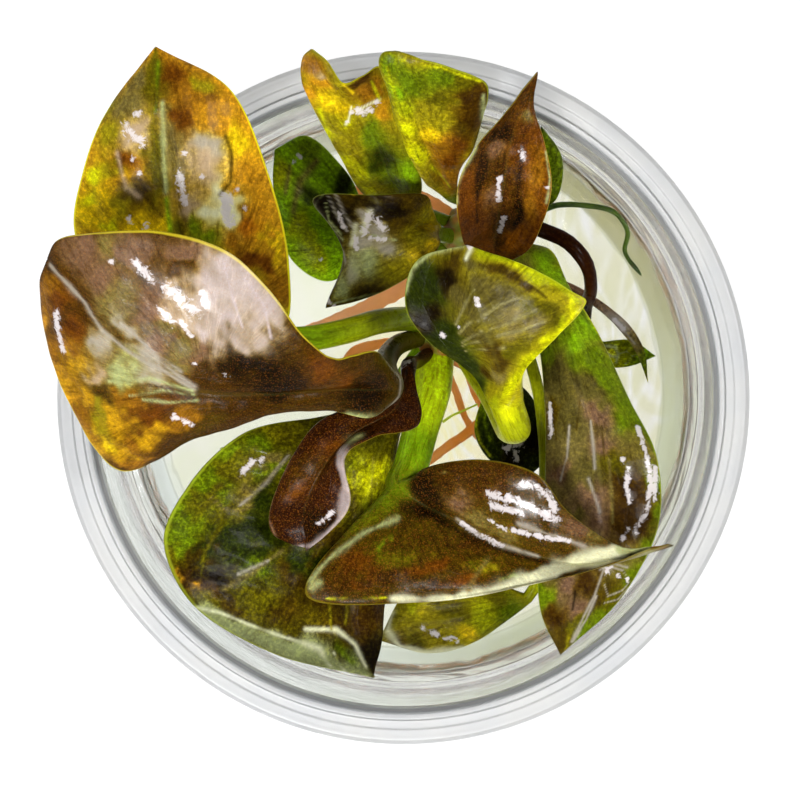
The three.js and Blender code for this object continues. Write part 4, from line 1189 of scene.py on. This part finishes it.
def leaf_skin(name, speckle, glitter, margin, underside):
    """Leaf tissue under a glossy water film: its patch colours under grain and veins, a bright line painted
    along the margin as light shining through it, and pale highlights painted where it shines, where the coat
    is glossier too.
    """
    skin = Surface(name)
    place = skin.place()
    along, across, below = skin.fact("blade").parts()
    reach = across.absolute()
    tint = skin.fact("tint")
    pale = tint.parts()[2].rise(0.06, 0.24)
    painted_gleam, rim, coarse = skin.fact("finish").parts()
    in_blade = along.rise(0.02, 0.12)
    firm = 1.0 - pale * 0.8
    lively = firm * coarse * (0.4 + in_blade * 0.6)
    grain = skin.noise(place, 1.9, 2.5, 0.65)
    mottle = skin.noise(place, 0.42, 4.0, 0.62, 0.5)
    flow = skin.fact("flow")
    streak = skin.noise(flow * (10.0, 10.0, 0.13), 1.0, 4.0, 0.65, 0.5)
    thread = skin.noise(flow * (27.0, 27.0, 0.30), 1.0, 3.0, 0.7, 0.5)
    fleck = skin.noise(place, 1.1, 3.0, 0.6, 0.7)

    arcs = skin.lines(across * 3.3 + (mottle - 0.5) * 0.5 + 0.5, 0.09)
    cross = skin.lines(along * 15.0 - reach * 5.0 + (mottle - 0.5) * 1.6, 0.10)
    ridges = skin.lines(across * 8.0 + (mottle - 0.5) * 0.6, 0.28)
    net = skin.net(place + skin.noise(place, 0.8, 1.0, out="Color") * 0.8, 0.95).rise(0.16, 0.0)
    veins = (arcs * 0.5 + cross * 0.25 + net * 0.2) * in_blade + ridges * 0.3 * (1.0 - in_blade)
    rib = reach.rise(0.06, 0.0) * in_blade * along.rise(1.0, 0.6)

    colour = tint * 0.92
    for share, tone in (
        (mottle.rise(0.50, 0.68) * 0.45 * lively, (0.45, 0.33, 0.15)),
        (streak.rise(0.46, 0.32) * 0.6 * firm, (0.42, 0.35, 0.2)),
        (streak.rise(0.52, 0.68) * 0.4, (1.5, 1.45, 1.3)),
        (fleck.rise(0.54, 0.66) * 0.4 * lively, (0.45, 0.36, 0.2)),
        (thread.rise(0.48, 0.36) * 0.6 * firm, (0.40, 0.34, 0.2)),
        (thread.rise(0.54, 0.66) * 0.4, (1.6, 1.6, 1.6)),
        (grain.rise(0.49, 0.38) * speckle * lively, (0.34, 0.30, 0.2)),
    ):
        colour = skin.mix(share, colour, colour * tone)
    pale_grain = colour * (2.2, 2.2, 1.5) + (0.012, 0.014, 0.0)
    colour = skin.mix(grain.rise(0.52, 0.62) * speckle * lively, colour, pale_grain)
    colour = skin.mix(veins * 0.3, colour, tint * 1.4)
    colour = skin.mix(rib * 0.25, colour, tint * 1.4 + (0.04, 0.05, 0.01))
    glints = skin.noise(place, 4.6, 2.0, 0.6).rise(0.55, 0.63)
    colour = skin.mix(glints * glitter * coarse, colour, (0.50, 0.15, 0.02))
    # Painted light: a bright line along the margin stands for light shining through the thin edge
    edge = reach.rise(0.975, 0.990) * along.rise(0.05, 0.15)
    colour = skin.mix(edge * rim, colour, tint * 0.5 + margin)
    colour = skin.mix(below * 0.45 * in_blade * (1.0 - edge), colour, underside)
    # Painted highlight: a pale colour laid where the leaf reflects light, broken into blobs by noise, with
    # lower roughness and more coat there
    broken = skin.noise(place, 0.9, 4.0, 0.65, 1.0)
    painted_highlight = (painted_gleam + (broken - 0.5) * 3.0).rise(0.38, 0.95) * painted_gleam.rise(0.02, 0.25)
    colour = skin.mix(painted_highlight * 0.88, colour, (0.76, 0.70, 0.70))

    height = grain * 0.10 - arcs * 0.25 * in_blade - cross * 0.18 * in_blade - net * 0.10 + broken * 0.4
    wet_roughness = 0.30 + (mottle - 0.5) * 0.25 - painted_highlight * 0.12
    # Dark tissue gives back a slightly smaller share of its tone than bright tissue does
    tissue = colour * (colour * 0.09 + 0.695)
    return skin.finish(skin.principled(
        Base_Color=tissue, Roughness=wet_roughness, IOR=1.108, Normal=skin.bump(height, 0.0001, 0.9),
        Coat_Weight=0.02 + painted_gleam * 0.28, Coat_Roughness=0.06, Coat_IOR=1.45,
    ))


def rim_plastic():
    """The rim's thicker, milky plastic, with faint flow marks, and painted shade lines in two moulded
    channels, at a step and along the outer edge.
    """
    skin = Surface("rim_plastic")
    place = skin.place()
    cloud = skin.noise(place, 0.10, 3.0, 0.6)
    scuffs = skin.noise(place, 1.3, 4.0, 0.7)
    radius = skin.length(place * (1.0, 1.0, 0.0))
    # Painted shade: dark lines stand for the shade in two moulded channels, and lighter grey ones for the
    # shade at a step and on the rounded outer edge
    groove_shade = radius.near(45.6, 0.30, 0.08) + radius.near(45.0, 0.22, 0.06)
    step_shade = radius.near(46.5, 0.2, 0.03) + radius.rise(49.4, 49.8)
    colour = skin.mix(cloud.rise(0.35, 0.65), (0.70, 0.71, 0.72), (0.75, 0.75, 0.74))
    colour = skin.mix(step_shade * 0.12, colour, (0.55, 0.56, 0.58))
    colour = skin.mix(groove_shade * 0.5, colour, (0.42, 0.47, 0.54))
    shader = skin.principled(
        Base_Color=colour, Roughness=0.34 + scuffs.rise(0.45, 0.8) * 0.15, IOR=1.46, Transmission_Weight=0.8,
        Normal=skin.bump(cloud + scuffs * 0.15, 0.0002, 0.5),
    )
    return skin.finish(shader)


def wall_plastic():
    """Clear moulded plastic with faint flow marks and scuffs."""
    skin = Surface("wall_plastic")
    place = skin.place()
    cloud = skin.noise(place, 0.12, 3.0, 0.6)
    scuffs = skin.noise(place * (1.0, 1.0, 0.35), 1.3, 4.0, 0.7)
    shader = skin.principled(
        Base_Color=skin.mix(cloud.rise(0.3, 0.7), (0.985, 0.99, 0.995), (1.0, 1.0, 1.0)),
        Roughness=0.06 + scuffs.rise(0.45, 0.8) * 0.12, IOR=1.46, Transmission_Weight=0.98,
        Normal=skin.bump(cloud * 1.0 + scuffs * 0.15, 0.0002, 0.3),
    )
    return skin.finish(shader)


def gel_body():
    """Milky agar: a pale yellow-green that is clearest at the wall, with swirls from its pouring, an olive
    band near the wall that is partly painted reflection, and two painted dark rings.
    """
    skin = Surface("gel_body")
    place = skin.place()
    x, y, z = place.parts()
    drift = skin.noise(place, 0.07, 2.0, 0.5, 1.2)
    sweep = skin.noise(place * (1.0, 0.45, 1.0), 0.07, 1.5, 0.5, 1.8)
    swirl = skin.lines(sweep * 7.0, 0.34)
    radius = skin.length(place * (1.0, 1.0, 0.0))
    from_middle = skin.length(place - (8.0, 0.0, 20.0))
    colour = skin.mix(drift.rise(0.35, 0.65), (0.93, 0.96, 0.76), (0.98, 0.98, 0.88))
    colour = skin.mix(x.rise(8.0, 26.0) * 0.6, colour, (0.82, 0.79, 0.52))
    colour = skin.mix(from_middle.rise(24.0, 12.0) * 0.9, colour, (1.0, 0.90, 0.44))
    colour = skin.mix(swirl * 0.85 * x.rise(0.0, 12.0), colour, (1.0, 1.0, 0.99))
    # Painted reflection: near the wall the gel turns olive, and dark brown-olive towards larger x and y,
    # partly its own tint and partly the leaves reflected in the wall
    wall_band_and_reflection = skin.mix(x.rise(-20.0, 20.0), (0.84, 0.90, 0.87), (0.62, 0.66, 0.46))
    wall_band_and_reflection = skin.mix((x * 0.5 + y).rise(12.0, 42.0) * 0.85, wall_band_and_reflection, (0.40, 0.38, 0.16))
    colour = skin.mix(radius.rise(38.1, 38.9) * 0.85, colour, wall_band_and_reflection)
    colour = skin.mix(radius.rise(41.9, 42.5), colour, (0.97, 0.98, 0.96))
    # Painted refraction: two thin dark rings stand for the cup's foot and wall seen bent through the gel
    rings = radius.near(38.5, 0.25, 0.05) + radius.near(42.0, 0.3, 0.05)
    colour = skin.mix(rings * 0.4, colour, (0.30, 0.34, 0.20))
    shader = skin.principled(
        Base_Color=colour, Roughness=0.09 + sweep * 0.05, IOR=1.34, Transmission_Weight=0.9,
        Normal=skin.bump(sweep, 0.0012, 0.5),
    )
    return skin.finish(shader)


def root_skin(name, pale, deep, see_through):
    """Thin smooth root tissue, blotched between two tones, that lets light through in its middle tone."""
    skin = Surface(name)
    place = skin.place()
    grain = skin.noise(place, 1.6, 3.0, 0.6)
    blotch = skin.noise(place, 0.35, 2.0, 0.6)
    colour = skin.mix(blotch.rise(0.35, 0.65), pale, deep)
    colour = colour * (0.7 + grain * 0.6)
    shader = skin.principled(Base_Color=colour, Roughness=0.35, Normal=skin.bump(grain, 0.0002, 0.7))
    between = tuple((a + b) / 2 for a, b in zip(pale, deep))
    through = skin.node("ShaderNodeBsdfTranslucent", {}, {"Color": between})
    share = see_through * (0.85 + blotch * 0.3)
    return skin.finish(skin.node("ShaderNodeMixShader", {}, {0: share, 1: shader, 2: through}))


def pale_floor():
    """A floor that glows softly, so that it stays nearly white round the cup."""
    skin = Surface("pale_floor")
    cloud = skin.noise(skin.place(), 0.004, 2.0)
    colour = skin.mix(cloud, (0.09, 0.09, 0.09), (0.11, 0.11, 0.11))
    return skin.finish(skin.principled(
        Base_Color=colour, Roughness=0.8, Emission_Color=(1.0, 1.0, 1.0), Emission_Strength=0.95,
    ))


def build_plants():
    """All leaves, roots and the runner, and two turned rootstocks that swell and dip by a twentieth."""
    # Each skin's third colour is the margin's painted glow, light shining through the thin edge
    skins = {
        "leaf_amber": leaf_skin("leaf_amber_skin", 0.50, 0.10, (0.70, 0.74, 0.01), (0.50, 0.46, 0.10)),
        "leaf_brown": leaf_skin("leaf_brown_skin", 0.40, 0.25, (0.60, 0.50, 0.02), (0.42, 0.36, 0.14)),
        "leaf_green": leaf_skin("leaf_green_skin", 0.70, 0.0, (0.42, 0.50, 0.03), (0.40, 0.48, 0.20)),
    }
    for seed, (name, leaf) in enumerate(LEAVES.items()):
        leaf_piece(name, leaf, skins[leaf["slot"]], 20 * seed)
    hair_skin = root_skin("hair_skin", (0.90, 1.0, 0.14), (0.75, 0.95, 0.08), 0.9)
    root_flesh = root_skin("root_flesh", (1.0, 0.70, 0.28), (1.0, 0.42, 0.07), 0.92)
    for seed, (name, root) in enumerate(ROOTS.items()):
        tube_piece(name + "_grown", root["radius"], root["path"], root_flesh, "root", name, seed=seed)
    for name, path in HAIR_ROOTS.items():
        tube_piece(name, HAIR_RADIUS, path, hair_skin, "root", sides=10, rows=60)
    green_thread = root_skin("runner_skin", (0.13, 0.24, 0.01), (0.04, 0.09, 0.005), 0.4)
    tube_piece("runner_grown", RUNNER["radius"], RUNNER["path"], green_thread, "stalk", "runner", seed=9)
    crown_skin = root_skin("rootstock_skin", (0.24, 0.30, 0.03), (0.34, 0.12, 0.02), 0.3)
    for name, (x, y, radius) in ROOTSTOCKS.items():
        profile = [
            (0.02, 12), (radius * 0.55, 12.8), (radius * 0.9, 16), (radius, GEL_TOP), (radius * 0.85, 25.4),
            (radius * 0.45, 27), (0.02, 27.4),
        ]
        rings = lathe_rings(profile, 64) + (x, y, 0)
        bumps = 1 + 0.05 * wobble(rings, 2.4, int(radius * 10))[..., None]
        rings = (x, y, GEL_TOP) + (rings - (x, y, GEL_TOP)) * bumps
        lathe_piece(name + "_grown", rings, crown_skin, "stalk", name)


def build_cup():
    """The cup's outline from the axis under the floor, out and up round the rim, and back inside."""
    profile = [
        (0.02, 0), (40.6, 0), (42.8, 0.9), (44.1, 2.7), (44.6, 5.2), (45.9, 52.8), (49.0, 53.4), (49.1, 50),
        (50, 50), (50, 54.2), (49.4, 54.9), (47.9, 54.9), (47.7, 54.6), (46.6, 54.6), (46.4, 55), (46.2, 55),
        (45.7, 54.4), (45.6, 52.8), (45.0, 52.4), (43.7, 5.6), (43.2, 3.6), (42.2, 2), (40.2, 1.2),
        (0.02, 1.2),
    ]

    def in_rim(middles):
        return (middles[:, 2] > 49.5) & (np.hypot(middles[:, 0], middles[:, 1]) > 44.9)

    rings = lathe_rings(profile, 240, 0.1, 2)
    lathe_piece("cup_moulded", rings, [wall_plastic(), rim_plastic()], "cup", "cup", in_rim)


def build_gel():
    """The gel's outline, whose top is uneven by less than half a millimetre and climbs at the wall."""
    profile = [
        (0.02, 1.5), (40.0, 1.5), (41.8, 2.5), (42.8, 4), (43.4, 5.8), (43.83, 20.6), (43.5, 20.35),
        (42.6, 20.05), (41.0, GEL_TOP), (0.02, GEL_TOP),
    ]
    rings = lathe_rings(profile, 200, 0.25)
    from_wall = 43 - np.hypot(rings[..., 0], rings[..., 1])
    on_top = smoothstep(rings[..., 2], 19, 19.9) * smoothstep(from_wall, 0, 4)
    rings[..., 2] += on_top * (0.16 * wobble(rings, 12, 71) + 0.05 * wobble(rings, 4, 72))
    lathe_piece("gel_poured", rings, gel_body(), "gel", "gel")


# The camera's place and the point that it looks at, and its focal length and the picture's side in pixels
CAMERA_AT = (0.020, 0.014, 0.755)
CAMERA_AIM = (-0.00036, -0.00022, 0.055)
FOCAL_PIXELS = 4858
PICTURE_PIXELS = 800

# Half the floor's side, how high the lamps' aim is above it and how far they stand from that, in metres
FLOOR_HALF = 3.0
LAMP_AIM = 0.06
LAMP_DISTANCE = 0.6

# A lamp's heading and height in degrees, its two sides in metres, and its power
LAMPS = {
    "window_light": (-115, 58, (0.34, 0.24), 3.7),
    "lamp_light": (-118, 56, (0.11, 0.07), 1.5),
    "side_light": (18, 58, (0.10, 0.20), 2.0),
}

# The air's light fades from the first strength to the second between two heights above the horizon
AIR_FADE = {"From Min": 0.08, "From Max": 0.50, "To Min": 0.95, "To Max": 0.10}


def build_stage():
    """A bright floor, a camera nearly straight above, a large soft window, two lamps, and white air."""
    mesh = bpy.data.meshes.new("floor")
    half = FLOOR_HALF
    corners = [(-half, -half, 0), (half, -half, 0), (half, half, 0), (-half, half, 0)]
    mesh.from_pydata(corners, [], [(0, 1, 2, 3)])
    floor = bpy.data.objects.new("floor", mesh)
    mesh.materials.append(pale_floor())
    bpy.context.scene.collection.objects.link(floor)

    camera_at = Vector(CAMERA_AT)
    lens = bpy.data.cameras.new("camera")
    lens.sensor_width = 36
    lens.lens = lens.sensor_width * FOCAL_PIXELS / PICTURE_PIXELS
    lens.clip_start = 0.01
    camera = bpy.data.objects.new("camera", lens)
    ahead = (Vector(CAMERA_AIM) - camera_at).normalized()
    right = ahead.cross(Vector((0, 1, 0))).normalized()
    turn = Matrix((right, right.cross(ahead), -ahead)).transposed()
    camera.matrix_world = Matrix.Translation(camera_at) @ turn.to_4x4()
    bpy.context.scene.collection.objects.link(camera)
    bpy.context.scene.camera = camera

    for name, (heading, height, size, power) in LAMPS.items():
        lamp = bpy.data.lights.new(name, "AREA")
        lamp.shape = "RECTANGLE"
        lamp.size, lamp.size_y = size
        lamp.energy = power
        light = bpy.data.objects.new(name, lamp)
        flat, rise = np.radians(heading), np.radians(height)
        towards = Vector((np.cos(rise) * np.cos(flat), np.cos(rise) * np.sin(flat), np.sin(rise)))
        light.location = Vector((0, 0, LAMP_AIM)) + towards * LAMP_DISTANCE
        light.rotation_euler = towards.to_track_quat("Z", "Y").to_euler()
        bpy.context.scene.collection.objects.link(light)

    world = bpy.data.worlds.new("white_air")
    world.use_nodes = True
    tree = world.node_tree
    air = tree.nodes["Background"]
    way = tree.nodes.new("ShaderNodeTexCoord")
    height = tree.nodes.new("ShaderNodeSeparateXYZ")
    fade = tree.nodes.new("ShaderNodeMapRange")
    fade.interpolation_type = "SMOOTHSTEP"
    for key, value in AIR_FADE.items():
        fade.inputs[key].default_value = value
    tree.links.new(way.outputs["Generated"], height.inputs[0])
    tree.links.new(height.outputs["Z"], fade.inputs["Value"])
    tree.links.new(fade.outputs["Result"], air.inputs["Strength"])
    air.inputs["Color"].default_value = (1, 1, 1, 1)
    bpy.context.scene.world = world
    bpy.context.scene.view_settings.view_transform = "Standard"


build_stage()
build_cup()
build_gel()
build_plants()
